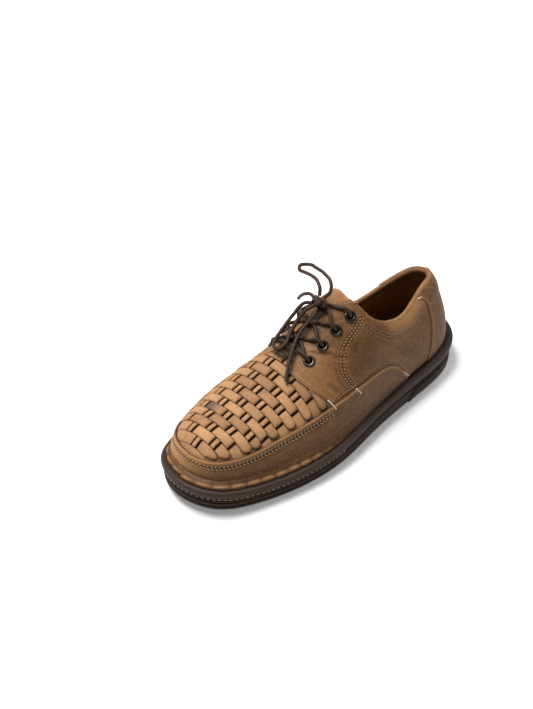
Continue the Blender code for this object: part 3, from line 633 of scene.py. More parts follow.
class Heap:
    """Gathers many small closed pieces into one mesh."""

    def __init__(self):
        self.points, self.faces, self.values, self.caps, self.count = [], [], {}, [], 0

    def add(self, points, faces, caps=(), **values):
        if signed_volume(points - points.mean(0), faces) < 0:
            faces = faces[:, ::-1]
            caps = [cap[::-1] for cap in caps]
        self.points.append(points)
        self.faces.append(faces + self.count)
        self.caps += [np.asarray(cap) + self.count for cap in caps]
        for key, value in values.items():
            value = np.broadcast_to(np.asarray(value, float).ravel(), len(points))
            self.values.setdefault(key, []).append(value)
        self.count += len(points)

    def make(self, name, finishes):
        points, faces = np.concatenate(self.points), np.concatenate(self.faces)
        values = {key: np.concatenate(value) for key, value in self.values.items()}
        return add_piece(name, points, faces, finishes, None, values, self.caps)


def stacked_rings(rows, count):
    """Numbers of the points in a stack of rings, and the quads from each ring to the next."""
    number = np.arange(rows * count).reshape(rows, count)
    right = np.roll(number, -1, 1)
    return number, np.stack([number[:-1], right[:-1], right[1:], number[1:]], -1).reshape(-1, 4)


def tube_mesh(path, radius, sides=14, yarns=5, lay=7.0):
    """A laid cord along a path: rings of points with low strands turned round it, and end caps."""
    path = np.asarray(path, float)
    along = unit(np.gradient(path, axis=0))
    side = np.cross(along[0], (0.3, 0.2, 1.0))
    turns = np.arange(sides) * 2 * np.pi / sides
    rings, wear = [], []
    for point, ahead, far in zip(path, along, run_along(path)):
        side = side - ahead * (side @ ahead)
        side /= np.linalg.norm(side)
        other = np.cross(ahead, side)
        yarn = np.cos(yarns * turns + far * 2 * np.pi / lay)
        reach = radius * (1 + 0.05 * yarn)
        spokes = np.cos(turns)[:, None] * side + np.sin(turns)[:, None] * other
        rings.append(point + reach[:, None] * spokes)
        wear.append(0.5 + 0.5 * yarn)
    number, faces = stacked_rings(len(path), sides)
    caps = [number[0][::-1], number[-1]]
    return np.array(rings).reshape(-1, 3), faces, caps, np.array(wear).ravel()


def smooth_path(points, spacing):
    """Evenly spaced points on the smooth curve through a route."""
    p = np.asarray(points, float)
    run = run_along(p)
    curve = Sections(("run", "x", "y", "z"), *np.column_stack([run, p]))
    count = max(int(run[-1] / spacing) + 1, 5)
    where = np.linspace(0, run[-1], count)
    return np.stack([curve.at(axis, where) for axis in "xyz"], 1)


# Camera, light and floor


def add_camera():
    a, e = math.radians(CAMERA_AZIMUTH), math.radians(CAMERA_ELEVATION)
    back = Vector((math.sin(a) * math.cos(e), -math.cos(a) * math.cos(e), math.sin(e)))
    right = Vector((math.cos(a), math.sin(a), 0))
    up = back.cross(right)
    camera = bpy.data.objects.new("camera", bpy.data.cameras.new("camera"))
    camera.data.lens = CAMERA_FOCUS / PHOTO_HEIGHT * camera.data.sensor_width
    aside = CAMERA_ASIDE[0] * right + CAMERA_ASIDE[1] * up
    camera.location = (back * CAMERA_DISTANCE - aside) * MM
    camera.rotation_mode = "QUATERNION"
    camera.rotation_quaternion = (-back).to_track_quat("-Z", "Y")
    bpy.context.scene.collection.objects.link(camera)
    bpy.context.scene.camera = camera


def add_light(name, position, target, size, power):
    data = bpy.data.lights.new(name, "AREA")
    data.shape = "DISK"
    data.size = size
    data.energy = power
    lamp = bpy.data.objects.new(name, data)
    lamp.location = position
    lamp.rotation_mode = "QUATERNION"
    lamp.rotation_quaternion = (Vector(target) - Vector(position)).to_track_quat("-Z", "Y")
    bpy.context.scene.collection.objects.link(lamp)


def add_studio():
    world = bpy.data.worlds.new("studio")
    world.use_nodes = True
    tree = world.node_tree
    seen = add_node(tree, "ShaderNodeLightPath").outputs["Is Camera Ray"]
    strength = add_node(tree, "ShaderNodeMapRange", None, {"Value": seen, "To Min": 0.20, "To Max": 1.0})
    background = tree.nodes["Background"]
    background.inputs["Color"].default_value = (1.0, 1.0, 1.0, 1.0)
    tree.links.new(strength.outputs[0], background.inputs["Strength"])
    bpy.context.scene.world = world
    bpy.context.scene.view_settings.view_transform = "Standard"
    add_light("softbox_over", (-0.42, -0.24, 1.38), (0, 0, 0.03), 0.9, 37.0)
    add_light("softbox_back", (-0.2, 1.2, 0.8), (0, 0, 0.05), 0.6, 5.0)
    mesh = bpy.data.meshes.new("floor")
    half = 3.0
    corners = [(-half, -half, 0), (half, -half, 0), (half, half, 0), (-half, half, 0)]
    mesh.from_pydata(corners, [], [(0, 1, 2, 3)])
    # Matt white paper: a little light of its own keeps the shoe's shadow pale, as on a lit table
    made, tree, shader = new_material("white_sweep")
    fill(tree, shader, {"Base Color": (0.78, 0.78, 0.78, 1.0), "Roughness": 0.9,
                        "Emission Color": (1.0, 1.0, 1.0, 1.0), "Emission Strength": 0.22})
    mesh.materials.append(made)
    floor = bpy.data.objects.new("floor", mesh)
    bpy.context.scene.collection.objects.link(floor)


# Sole


def sole_floor(station):
    return np.maximum(SOLE.at("floor", station), 0.0)


def layer_height(station):
    floor, top = sole_floor(station), SOLE.at("top", station)
    return floor + (top - floor) * LAYER_SPLIT


def outsole_floor(station):
    t = np.clip((HEEL_FRONT - station) / HEEL_ROUND, 0, 1)
    step = np.sqrt(1 - (1 - t) ** 2)
    floor = sole_floor(station)
    return floor + (layer_height(station) - OUTSOLE_OVER_HEEL - floor) * step


def rib_depth(station):
    return 1.3 * np.clip((station - 120.0) / 90.0, 0, 1)


def sole_layer(name, node, shares, profile, bottom, top):
    """A layer of the sole as stacked rings, with its ends bridged side to side."""
    rings, wear = [], []
    station = TREAD.at(shares)[1]
    for height, inset, groove, dust_and_highlight in profile:
        drawn = inset + groove * rib_depth(station)
        x, d = TREAD.at(shares, -drawn)
        level = np.where(station < 100.0, station, d)
        low, high = bottom(level), top(level)
        rings.append(place(x, d, low + (high - low) * height))
        wear.append(np.full(len(shares), dust_and_highlight))
    number, sides = stacked_rings(len(rings), len(shares))
    quads = [sides]
    caps = []
    half = len(shares) // 2
    for ring, turn in ((number[0], 1), (number[-1], -1)):
        k = np.arange(1, half - 1)
        strip = np.stack([ring[k], ring[-k], ring[-k - 1], ring[k + 1]], -1)
        quads.append(strip[:, ::turn])
        for cap in (ring[[0, -1, 1]], ring[[half - 1, half + 1, half]]):
            caps.append(cap[::turn])
    piece = add_piece(name, np.array(rings).reshape(-1, 3), np.concatenate(quads), [sole_rubber],
                      None, {"wear": np.array(wear)}, caps)
    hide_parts(node)


def sole_shares(end, count, meeting):
    """Shares round the tread, as far forward as end, whose lateral and medial points lie at equal
    stations. meeting says that the two sides share their last point."""
    lateral = np.linspace(0, end, count)
    paired = lateral[1:-1] if meeting else lateral[1:]
    medial = TREAD.side(False, TREAD.at(paired)[1])
    return np.concatenate([lateral, medial[::-1]])


# Edges of the sole's layers, from below: height share, inset, share of the ribs' depth, dust and painted
# highlight
MIDSOLE_EDGE = (
    (0.0, 7.0, 0, 0), (0.0, 1.4, 0, 0), (0.03, 0.6, 0, 0.1), (0.08, 0.25, 0, 0.3), (0.12, 0.5, 0.5, 0),
    (0.17, 0.5, 0.6, 0), (0.21, 0.1, 0, 0.1), (0.25, -0.4, 0, 0.2), (0.34, -0.8, 0, 0.1), (0.48, -1.2, 0, 0),
    (0.62, -LIP_OVERHANG, 0, 0), (0.74, -LIP_OVERHANG - 0.1, 0, 0.05), (0.84, -LIP_OVERHANG, 0, 0.15),
    (0.92, -1.0, 0, 0.25), (0.97, -0.3, 0, 0.2), (0.99, 0.5, 0, 0.1), (1.0, 1.4, 0, 0), (1.0, 8.0, 0, 0),
)
OUTSOLE_EDGE = (
    (0.0, 8.0, 0, 0), (0.0, 3.0, 0, 0), (0.04, 2.0, 0, 0.1), (0.14, 0.9, 0, 0), (0.30, 0.5, 0, 0.1),
    (0.36, 0.5, 0.1, 0.2), (0.40, 0.8, 1, 0), (0.45, 0.8, 1, 0), (0.49, 0.5, 0.1, 0.25), (0.54, 0.3, 0, 0.1),
    (0.68, 0.3, 0, 0.1), (0.72, 0.4, 0.1, 0.25), (0.76, 0.8, 1, 0), (0.81, 0.8, 1, 0), (0.85, 0.4, 0.1, 0.25),
    (0.90, 0.3, 0, 0.1), (0.97, 0.6, 0, 0), (1.0, 1.4, 0, 0), (1.0, 8.0, 0, 0),
)
HEEL_EDGE = (
    (0.0, 8.0, 0, 0), (0.0, 2.8, 0, 0), (0.04, 1.6, 0, 0.1), (0.12, 0.8, 0, 0), (0.5, 0.2, 0, 0.05),
    (0.8, 0.2, 0, 0.1), (0.92, 0.5, 0, 0.15), (1.0, 1.6, 0, 0), (1.0, 8.0, 0, 0),
)


def make_sole():
    whole = sole_shares(TREAD.toe, 240, True)
    sole_layer("midsole_band", "midsole", whole, MIDSOLE_EDGE,
               lambda d: layer_height(d) + GAP, lambda d: SOLE.at("top", d))
    sole_layer("outsole_tread", "outsole", whole, OUTSOLE_EDGE, outsole_floor, layer_height)
    heel = sole_shares(TREAD.side(True, HEEL_BACK_STEP), 110, False)
    sole_layer("heel_lift", "heel_block", heel, HEEL_EDGE,
               lambda d: 0 * d, lambda d: np.maximum(outsole_floor(d) - GAP, 0.05))


def make_insole():
    lateral = np.linspace(0, FEATHER.toe, 120)
    medial = FEATHER.side(False, FEATHER.at(lateral)[1])
    across = np.linspace(0, 1, 24)[:, None]
    lat_x, lat_d = FEATHER.at(lateral, -INSOLE_INSET)
    med_x, med_d = FEATHER.at(medial, -INSOLE_INSET)
    x, d = lat_x + (med_x - lat_x) * across, lat_d + (med_d - lat_d) * across
    dish = 0.8 * np.sin(np.pi * across) * np.ones_like(x)
    low = place(x, d, SOLE.at("top", d) + GAP)[:, 1:-1]
    high = place(x, d, SOLE.at("top", d) + GAP + INSOLE - dish)[:, 1:-1]
    plain = np.zeros(low.shape[:2])
    piece = add_wall("insole_sock", high, low, [lining_leather],
                     face_values(plain, plain + 0.1, 0.0, 0.1))
    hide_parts("insole")


# Upper


def crease(points, start, end, width, depth):
    """Depth of one soft trough with low ridges beside it, along a line on the leather."""
    start, end = place(*start), place(*end)
    line = end - start
    share = np.clip(((points - start) @ line) / (line @ line), 0, 1)
    off = np.linalg.norm(points - start - share[..., None] * line, axis=-1) / width
    fade = np.sin(np.pi * np.clip(share, 0.04, 0.96)) ** 0.6
    return -depth * fade * (band(off, 1.0) - 0.45 * band(off - 1.9, 0.9))


# Main creases of the quarters: start and end (x, station, height), width and depth
CREASES = (
    ((4.0, 175.0, 80.0), (25.0, 152.0, 79.0), 1.5, 0.8),
    ((12.0, 170.0, 79.5), (30.0, 146.0, 74.0), 1.8, 0.6),
    ((22.0, 136.0, 91.0), (30.0, 128.0, 80.0), 2.2, 0.5),
    ((30.0, 172.0, 62.0), (37.0, 166.0, 53.0), 2.0, 0.7),
    ((17.0, 46.0, 86.0), (16.0, 28.0, 79.0), 1.3, 0.9),
    ((34.0, 96.0, 60.0), (37.0, 74.0, 46.0), 4.0, 0.5),
    ((36.0, 128.0, 62.0), (38.0, 106.0, 58.0), 3.5, 0.5),
    ((-34.0, 150.0, 72.0), (-36.0, 120.0, 62.0), 3.0, 0.6),
    ((-28.0, 168.0, 74.0), (-36.0, 150.0, 62.0), 2.2, 0.6),
    ((-32.0, 90.0, 58.0), (-34.0, 68.0, 46.0), 3.5, 0.5),
)


def crease_depth(points):
    return sum(crease(points, *row) for row in CREASES)


def padded(u):
    """Share of the collar's padding at a place round the shoe: it fades out into the lace tabs."""
    return smooth((TAB_STATION - 6 - FEATHER.at(u)[1]) / 14)


def rim_t(u):
    """Where the rounded free edge of the quarters starts. The padded collar's edge is a plump roll,
    so it starts lower."""
    return top_t(u) - 0.016 * padded(u)


def heel_tuck(u):
    """How much further in than the solid the leather of the heel stands."""
    return HEEL_TUCK * band(FEATHER.at(u)[1], 40.0)


def padding(u, t, top):
    """Outer and inner swell of the padded collar at a place on the quarters."""
    below = np.linalg.norm(last_point(u, top) - last_point(u, t), axis=-1)
    swell = np.sin(np.pi * np.clip(below / COLLAR_PAD, 0, 1)) * padded(u)
    edge = smooth(1 - below / 5.0) * padded(u)
    tuck = heel_tuck(u)
    return COLLAR_SWELL_OUT * swell - 0.1 * edge - tuck, -COLLAR_SWELL_IN * swell - 2.4 * edge - tuck


def rolled_edge(u, t, outer_rise, inner_rise, rows):
    """Rows of a rounded free edge past t, for the outer and the inner face."""
    base, normal, up = last_point(u, t), last_normal(u, t), last_up(u, t)
    middle = ((outer_rise + inner_rise) / 2)[..., None]
    radius = ((outer_rise - inner_rise) / 2)[..., None]
    outer, inner = [], []
    for angle in np.linspace(0, 1.45, rows + 1)[1:]:
        centre = base + normal * middle + up * radius * math.sin(angle)
        outer.append(centre + normal * radius * math.cos(angle))
        inner.append(centre - normal * radius * math.cos(angle))
    return outer, inner


def eyelet_seats():
    seats = []
    for sign in (1, -1):
        centres, normals = on_instep(np.full(4, sign * EYELET_OFFSET), np.array(EYELET_STATIONS), np.zeros(4))
        seats += list(zip(centres, normals))
    return seats


def quarter_columns(count):
    return np.linspace(FEATHER.side(False, QUARTER_FRONT) - 1, FEATHER.side(True, QUARTER_FRONT), count)


def skewed(u, share):
    """Moves a column of the quarter forward by its front edge's skew at a share of its height."""
    station = FEATHER.at(u)[1]
    lateral = np.mod(u, 1) <= FEATHER.toe
    skew = QUARTER_SKEW * share * (2 - share) * np.exp(-((QUARTER_FRONT - station) / QUARTER_REACH) ** 2)
    side = np.where(lateral, FEATHER.side(True, station + skew), FEATHER.side(False, station + skew) - 1)
    return np.where(station > 45, side, u)


def near_line(points, path):
    """Distance of each point from the nearest point of a path."""
    nearest = np.full(points.shape[:-1], 99.0)
    for spot in path[::2]:
        nearest = np.minimum(nearest, np.linalg.norm(points - spot, axis=-1))
    return nearest


def from_ends(count):
    """How many columns each column of a row lies from the nearer end."""
    return np.minimum(np.arange(count), np.arange(count)[::-1])


def foot_shade(points, station):
    """Shade of the dark channel where the leather meets the sole's lip."""
    return 0.92 * smooth(1 - (points[:, 2] - SOLE.at("top", station)) / 5.0)


def make_quarters():
    """Both quarters in one wall: rows under the side panel, rows up to the rim, and the rolled rim."""
    u = quarter_columns(560)
    station = FEATHER.at(u)[1]
    outer, inner, wear, shade, normals = [], [], [], [], []
    under_panel = smooth((station - 88.0) / 6)
    for share in np.linspace(0.0, 0.93, 12):
        t = seam_t(u) * share
        point, normal = last_point(u, t), last_normal(u, t)
        rise = WALL - 1.4 * under_panel * smooth((1 - share) / 0.05) - heel_tuck(u)
        outer.append(point + normal * rise[:, None])
        inner.append(point - normal * heel_tuck(u)[:, None])
        normals.append(normal)
        wear.append(np.zeros_like(u))
        shade.append(foot_shade(outer[-1], station))
    end = from_ends(len(u))
    cut = np.array([0.9, 0.4, 0.1, 0.0])[np.minimum(end, 3)]
    for share in np.linspace(0.0, 1.0, 70):
        moved = skewed(u, share)
        low, high = seam_t(moved), rim_t(moved)
        t = low + (high - low) * share
        point, normal = last_point(moved, t), last_normal(moved, t)
        swell_out, swell_in = padding(moved, t, high)
        folds = crease_depth(point)
        outer.append(point + normal * (WALL + swell_out + folds - cut)[:, None])
        inner.append(point + normal * swell_in[:, None])
        normals.append(normal)
        near_top = np.linalg.norm(last_point(moved, high) - point, axis=-1)
        at = SOLE_LENGTH / 2 - point[:, 1]
        # The collar's roll is paler: wear, and painted light on its upward face.
        roll = padded(moved) * (0.45 + 0.3 * smooth((100.0 - at) / 30.0)) * band(near_top - 4.0, 6.0)
        edges = 0.30 * band(near_top, 2.5) + 0.35 * band(end, 2.2)
        # Painted light: the quarter's front, which faces up, is paler.
        front = 0.22 * smooth((at - 158.0) / 12.0)
        wear.append(edges + roll + front + 0.5 * np.clip(folds, 0, 0.4))
        # Painted shade on the middle of the quarter's side.
        painted_side_shade = 0.3 * band(at - 137.0, 27.0) * band(point[:, 2] - 80.0, 17.0)
        # Painted shade in the folds' troughs, with the painted shade on the side.
        shade.append(0.3 * np.clip(-folds, 0, 0.9) + painted_side_shade)
    moved = skewed(u, 1.0)
    high = rim_t(moved)
    swell_out, swell_in = padding(moved, high, high)
    rim_out, rim_in = rolled_edge(moved, high, WALL + swell_out, swell_in, 6)
    outer, inner = np.array(outer + rim_out), np.array(inner + rim_in)
    normals += [np.zeros_like(normal)] * 6
    wear += [np.full_like(u, 0.3)] * 6
    shade += [np.zeros_like(u)] * 6
    sewn = np.full(outer.shape[:2], 99.0)
    for path, _ in quarter_rows(0.0) + counter_edges() + panel_edges():
        sewn = np.minimum(sewn, near_line(outer, path))
    # Painted shade in the grooves of the stitch rows and along the counter's and side panels' edges, and a
    # paler painted highlight on their flanks.
    groove = band(sewn, 1.1)
    outer -= SEAM_GROOVE * groove[..., None] * np.array(normals)
    shade = np.array(shade) + 0.42 * groove
    wear = np.array(wear) + 0.22 * band(sewn - 2.3, 0.8)
    middle = (outer[:-1, :-1] + outer[1:, 1:]) / 2
    lined = np.ones(middle.shape[:2], bool)
    lined[72:] = False
    cells = np.ones(middle.shape[:2], bool)
    for centre, normal in eyelet_seats():
        off = middle - centre
        aside = off - (off @ normal)[..., None] * normal
        cells &= ~((np.linalg.norm(aside, axis=-1) < 3.3) & (np.linalg.norm(off, axis=-1) < 12))
    inner_shade = 0.2 - 0.1 * smooth((np.arange(len(outer)) - 70.0) / 8.0)[:, None]
    piece = add_wall("quarters", outer, inner, [quarter_leather, lining_leather],
                     face_values(wear, shade, 0.0, inner_shade), cells, lined)
    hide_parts("upper")


def make_counter():
    """The heel counter, laid over the quarters and rolled over the back of the collar."""
    columns = np.linspace(-1, 1, 240)
    outer, inner, wear, shade = [], [], [], []

    def row_u(share):
        height = 26.0 + 60.0 * share
        line = COUNTER_LINE.at("station", height)
        lateral, medial = FEATHER.side(True, line), FEATHER.side(False, line) - 1
        return np.where(columns > 0, lateral * columns, -medial * columns)

    end = from_ends(len(columns))
    lift = np.array([-0.2, 0.35, 0.75, 0.95, COUNTER_RISE])[np.minimum(end, 4)]
    for share in np.linspace(0.0, 1.0, 60):
        u = row_u(share)
        high = rim_t(u)
        t = high * share
        point, normal = last_point(u, t), last_normal(u, t)
        folds = crease_depth(point)
        rise = WALL + padding(u, t, high)[0] + folds
        outer.append(point + normal * (rise + lift)[:, None])
        inner.append(point + normal * (rise - 0.7)[:, None])
        wear.append(0.45 * band(end - 3, 2.0) + 0.5 * np.clip(folds, 0, 0.4))
        foot = foot_shade(outer[-1], FEATHER.at(u)[1])
        # Painted shade at the foot and in the folds' troughs; the end columns are darker too.
        shade.append(np.maximum(foot, np.where(end < 1, 0.8, 0.0)) + 0.3 * np.clip(-folds, 0, 0.9))
    u = row_u(1.0)
    high = rim_t(u)
    swell_out, swell_in = padding(u, high, high)
    rim_out, _ = rolled_edge(u, high, WALL + swell_out + lift, swell_in, 6)
    under, _ = rolled_edge(u, high, WALL + swell_out - 0.3, swell_in, 6)
    outer += rim_out
    inner += [p - 0.2 * last_up(u, high) for p in under]
    wear = np.array(wear + [np.full_like(u, 0.25)] * 6)
    shade = np.array(shade + [np.zeros_like(u)] * 6)
    add_wall("heel_counter", np.array(outer), np.array(inner), [quarter_leather],
             face_values(wear, shade, wear, shade))


def make_mudguard():
    """The lower panel round the toe and sides: the puckered flange on the sole, the wall and its rim."""
    u = np.linspace(FEATHER.side(True, PANEL_BACK), FEATHER.side(False, PANEL_BACK), 700)
    station = FEATHER.at(u)[1]
    run = u * FEATHER.length
    lateral = u <= FEATHER.toe
    seam = seam_t(u)
    length = np.linalg.norm(last_point(u, seam) - last_point(u, 0 * u), axis=-1)
    fade = np.where(lateral, smooth((station - 160.0) / 60.0), smooth((station - 150.0) / 60.0))
    uneven = 0.8 * np.sin(run / 37.0) + 0.5 * np.sin(run / 13.0 + 1.0)
    scallop = np.abs(np.sin(np.pi * (run + uneven) / PUCKER)) ** 0.75
    flange = by_side(SOLE, "inset", u, FEATHER.toe, station) - 1.9 + 0.7 * (scallop - 0.6) * fade
    outer, inner, wear, shade = [], [], [], []
    foot = 2.7
    for f in np.linspace(0, 1, 18):
        x, d = FEATHER.at(u, flange * (1 - f) + foot * f)
        base = SOLE.at("top", d) + GAP
        wave = scallop * fade * band(f, 0.42)
        pillow = (0.9 + 2.3 * wave) * nose(f * (flange - foot) + 0.1, 2.0)
        outer.append(place(x, d, base + 0.35 + pillow + 0.2 * length * f**1.6))
        inner.append(place(x, d, base + 0.05))
        # Painted highlight on the tops of the puckers.
        wear.append(0.5 * wave * smooth(f / 0.12))
        # Painted shade between the puckers, at the flange's edge, behind the flange where it has no puckers
        # and in the hollow above it.
        pinch = 0.6 * (1 - scallop) ** 1.3 * fade * band(f, 0.4)
        edge = 0.5 * smooth(1 - f / 0.08)
        plain_edge = 0.95 * (1 - fade) * band(f, 0.6)
        hollow = 0.42 * fade * band(f - 0.58, 0.16) + 0.2 * smooth((f - 0.4) / 0.3)
        shade.append(np.clip(pinch + edge + plain_edge + hollow, 0, 0.92))
    sewn = smooth((station - 176.0) / 8)
    for k in np.linspace(0.26, 1.0, 42):
        t = seam * k
        point, normal = last_point(u, t), last_normal(u, t)
        below = (1 - k) * length
        channel = sewn * band(below - APRON_SEAM_DROP, 1.7)
        tuck = 0.3 * (scallop - 0.6) * fade * np.exp(-k / 0.25)
        swell = 0.35 * math.sin(math.pi * k)
        rise = WALL + RAISED_EDGE * smooth(1 - below / 7.0) + swell - 0.8 * channel + tuck
        outer.append(point + normal * rise[:, None])
        inner.append(point + normal * 0.4)
        # Painted light on the toe's tip.
        painted_toe_light = 0.95 * band(u - FEATHER.toe - 0.03, 0.045) * smooth((k - 0.15) / 0.3)
        fold = 0.75 * (1 - sewn) * band(below, 0.9) + 0.4 * sewn * band(below, 1.6)
        wear.append(fold + 0.1 * band(below - 9.0, 3.0) + painted_toe_light)
        plain = 1 - 0.9 * np.clip(painted_toe_light, 0, 1)
        # Painted shade in the seam's channel and on the wall, darker towards the bottom and less where the
        # toe has painted light.
        shade.append(0.5 * channel + (0.12 + 0.2 * (1 - k)) * plain)
    rim_out, rim_in = rolled_edge(u, seam, np.full_like(u, WALL + RAISED_EDGE), np.full_like(u, 0.4), 7)
    # The rolled rim: paler on top with wear and painted light, and in painted shade underneath.
    wear += [np.full_like(u, w) for w in (0.6, 0.55, 0.4, 0.2, 0, 0, 0)]
    shade += [np.full_like(u, s) for s in (0, 0, 0.1, 0.3, 0.5, 0.7, 0.8)]
    add_wall("mudguard", np.array(outer + rim_out), np.array(inner + rim_in), [quarter_leather],
             face_values(wear, shade, 0.0, 0.6))


# Woven apron


def weave_table():
    """The woven sheet by millimetres along (from its back edge) and across the last. Each place has
    its point, normal, distance inside the mudguard's edge, distance ahead of the quarter's front
    edge, station and distance from the instep line."""
    rows = np.linspace(0.0, WEAVE_END, 170)
    columns = np.linspace(-72.0, 72.0, 181)
    station = np.linspace(APRON_BACK, 287.0, 400)
    centre = LAST.at("centre", np.minimum(station, SPINE_TOE))
    u, t, _ = locate(centre, station)
    row_station = np.interp(rows, run_along(last_point(u, t)), station)
    x = np.zeros((len(rows), len(columns)))
    for i, s in enumerate(row_station):
        middle = float(LAST.at("centre", min(s, SPINE_TOE)))
        across = np.linspace(middle - 75, middle + 75, 301)
        su, st, share = locate(across, np.full(301, s))
        inside = share <= 1.0
        across = across[inside]
        length = run_along(last_point(su[inside], st[inside]))
        length -= np.interp(middle, across, length)
        past = np.maximum(columns - length[-1], 0) + np.minimum(columns - length[0], 0)
        x[i] = np.interp(columns, length, across) + past
    d = row_station[:, None] + 0 * x
    u, t, _ = locate(x, d)
    seam, top = seam_t(u), top_t(u)
    inside = np.where(t >= seam, 1.0, -1.0)
    up = np.clip((t - seam) / np.maximum(top - seam, 0.05), 0, 1)
    between_tabs = smooth((t - top) / 0.02)
    edge = QUARTER_FRONT + QUARTER_SKEW * up * (2 - up)
    ahead = d - edge * (1 - between_tabs) - (THROAT_BACK + 2) * between_tabs
    t = np.clip(t, seam - 0.05, 0.985)
    point = last_point(u, t)
    from_edge = inside * np.linalg.norm(point - last_point(u, seam), axis=-1)
    from_line = np.abs(x - LAST.at("centre", np.minimum(d, SPINE_TOE)))
    values = np.stack([from_edge, ahead, d, from_line], -1)
    return rows, columns, np.concatenate([point, last_normal(u, t), values], -1)


WEAVE = weave_table()


def on_sheet(a, b):
    """Reads the woven sheet's table between its places."""
    rows, columns, table = WEAVE
    i = np.clip(a / (rows[1] - rows[0]), 0, len(rows) - 1.001)
    j = np.clip((b - columns[0]) / (columns[1] - columns[0]), 0, len(columns) - 1.001)
    i0, j0 = i.astype(int), j.astype(int)
    fi, fj = (i - i0)[..., None], (j - j0)[..., None]
    low = table[i0, j0] * (1 - fj) + table[i0, j0 + 1] * fj
    high = table[i0 + 1, j0] * (1 - fj) + table[i0 + 1, j0 + 1] * fj
    read = low * (1 - fi) + high * fi
    return read[..., :3], unit(read[..., 3:6]), *np.moveaxis(read[..., 6:], -1, 0)


def nose(distance, radius):
    """Height share of a rounded edge at a distance inside it."""
    k = np.clip(distance / radius, 0, 1)
    return np.sqrt(1 - (1 - k) ** 2)


def rounded(along, across, radius):
    """Distance inside a shape with rounded corners, from the distances inside its sides."""
    corner = radius - np.hypot(radius - along, radius - across)
    return np.where((along < radius) & (across < radius), corner, np.minimum(along, across))


STRIP_LOW = 1.0  # face of a strip where it dives, above the lining face
STRIP_ARCH = 1.9  # rise of a float over the strip that it covers
WARP_ARCH = 1.4
TILE_ARCH = 0.35
RIM_MARGIN = 2.6  # where a float ends in a round nose before the rim
# Lengthwise strips that show in the last courses before the toe plug, counted from the medial side
TOE_WARPS = {11: (1, 3, 5), 12: (2, 4, 6), 13: (3, 5), 14: (4,)}
SCUFFED = (10, 2)  # course and lengthwise strip beside the float that is scuffed grey
PLAIN_ENDS = 12  # from this course to the toe the floats run under the medial rim without a nose
TOE_TILE = (12, 6)  # course and lengthwise strip of the tile nearest the toe at the lateral rim


def warps_that_show(course):
    return TOE_WARPS.get(course, tuple(warp for warp in range(WARPS) if (course + warp) % 2 == 0))


def rim_reach(span, sign):
    """How far a course runs to one side before it is well under the mudguard's edge."""
    b = sign * np.linspace(0, 70, 141)
    a = np.linspace(*span, 3)[:, None] + 0 * b
    inside = (on_sheet(a, b + 0 * a)[2] > -1.2).any(0)
    return b[inside][-1] if inside.any() else 0.0


def add_strip(heap, span, b0, b1, arch, tone, nosed=0, lengthwise=False, scuff=0.0, under=()):
    """One stretch of a strip: a pillow over a span along and from b0 to b1 across the shoe. nosed is
    the side, 1 or -1, on which it ends in a round nose before the rim, under holds the sides on which
    it runs on under the rim."""
    if b1 - b0 < 2.5:
        return
    a0, a1 = span
    even = np.linspace(0, 1, 20), np.linspace(0, 1, max(int((b1 - b0) / 0.7), 10))
    share_a, share_b = [0.5 * e + 0.25 * (1 - np.cos(np.pi * e)) for e in even]
    a = a0 + (a1 - a0) * share_a[:, None] + 0 * share_b[None, :]
    b = b0 + (b1 - b0) * share_b[None, :] + 0 * share_a[:, None]
    point, normal, from_edge, ahead, station, _ = on_sheet(a, b)
    there = (ahead > -2.5) & (from_edge > -1.6)
    cells = there[:-1, :-1] | there[1:, 1:]
    if not cells.any():
        return
    along = np.minimum(a - a0, a1 - a)
    across = np.minimum(b - b0 + 50 * (-1 in under), b1 - b + 50 * (1 in under))
    middle = (2 * b - b0 - b1) / (b1 - b0)
    # dark is painted shade: at the strips' ends in the slits, along the courses' edges and round the noses.
    if lengthwise:
        shape = nose(along, 2.6) * (0.5 + 0.5 * nose(across, 1.6))
        dark = np.maximum(0.7 * band(along, 0.9), 0.5 * band(across, 0.3))
    else:
        shape = (0.42 + 0.58 * nose(along, 3.0)) * nose(across, 2.4) * (1 - 0.3 * middle**2)
        dark = np.maximum(0.5 * band(along, 0.3), 0.85 * band(across, 0.45))
    if nosed:
        to_rim = np.where(nosed * middle > -0.2, from_edge - RIM_MARGIN, 50.0)
        inside = rounded(along, to_rim, 3.6)
        near = smooth(1 - to_rim / 8.0)
        shape = np.where(inside > 0, shape * (1 - near) + nose(inside, 3.0) * near, 0.0)
        dark = np.maximum(dark, 0.75 * near * band(inside, 0.6))
        dark = np.maximum(dark, 0.25 * (inside < 0))
    # Painted shade next to the mudguard's rim and under the quarter's front edge.
    dark = np.maximum(dark, 0.45 * band(np.maximum(from_edge, 0), 0.9))
    dark = np.maximum(dark, 0.6 * band(np.maximum(ahead, 0), 1.4))
    # Randomly darker strips are the leather's own tone; the darkening towards the throat is painted shade.
    dark = np.minimum(dark + 0.9 * max(-tone, 0.0) + 0.2 * smooth((204.0 - station) / 24.0), 0.95)
    top = STRIP_LOW + arch * shape * nose(ahead + 1.5, 5.0)
    points, faces, _ = wall_mesh(point + normal * top[..., None], point + normal * 0.5, cells)
    grey = scuff * smooth(0.6 - 0.8 * middle)
    # Paler on the floats' tops as painted light, and by each strip's own random tone.
    rubbed_and_lit = np.clip(0.3 * shape**2 + tone, 0, 1)
    heap.add(points, faces, scuff=np.array([grey, 0 * grey]), **face_values(rubbed_and_lit, dark, 0.0, 0.9))


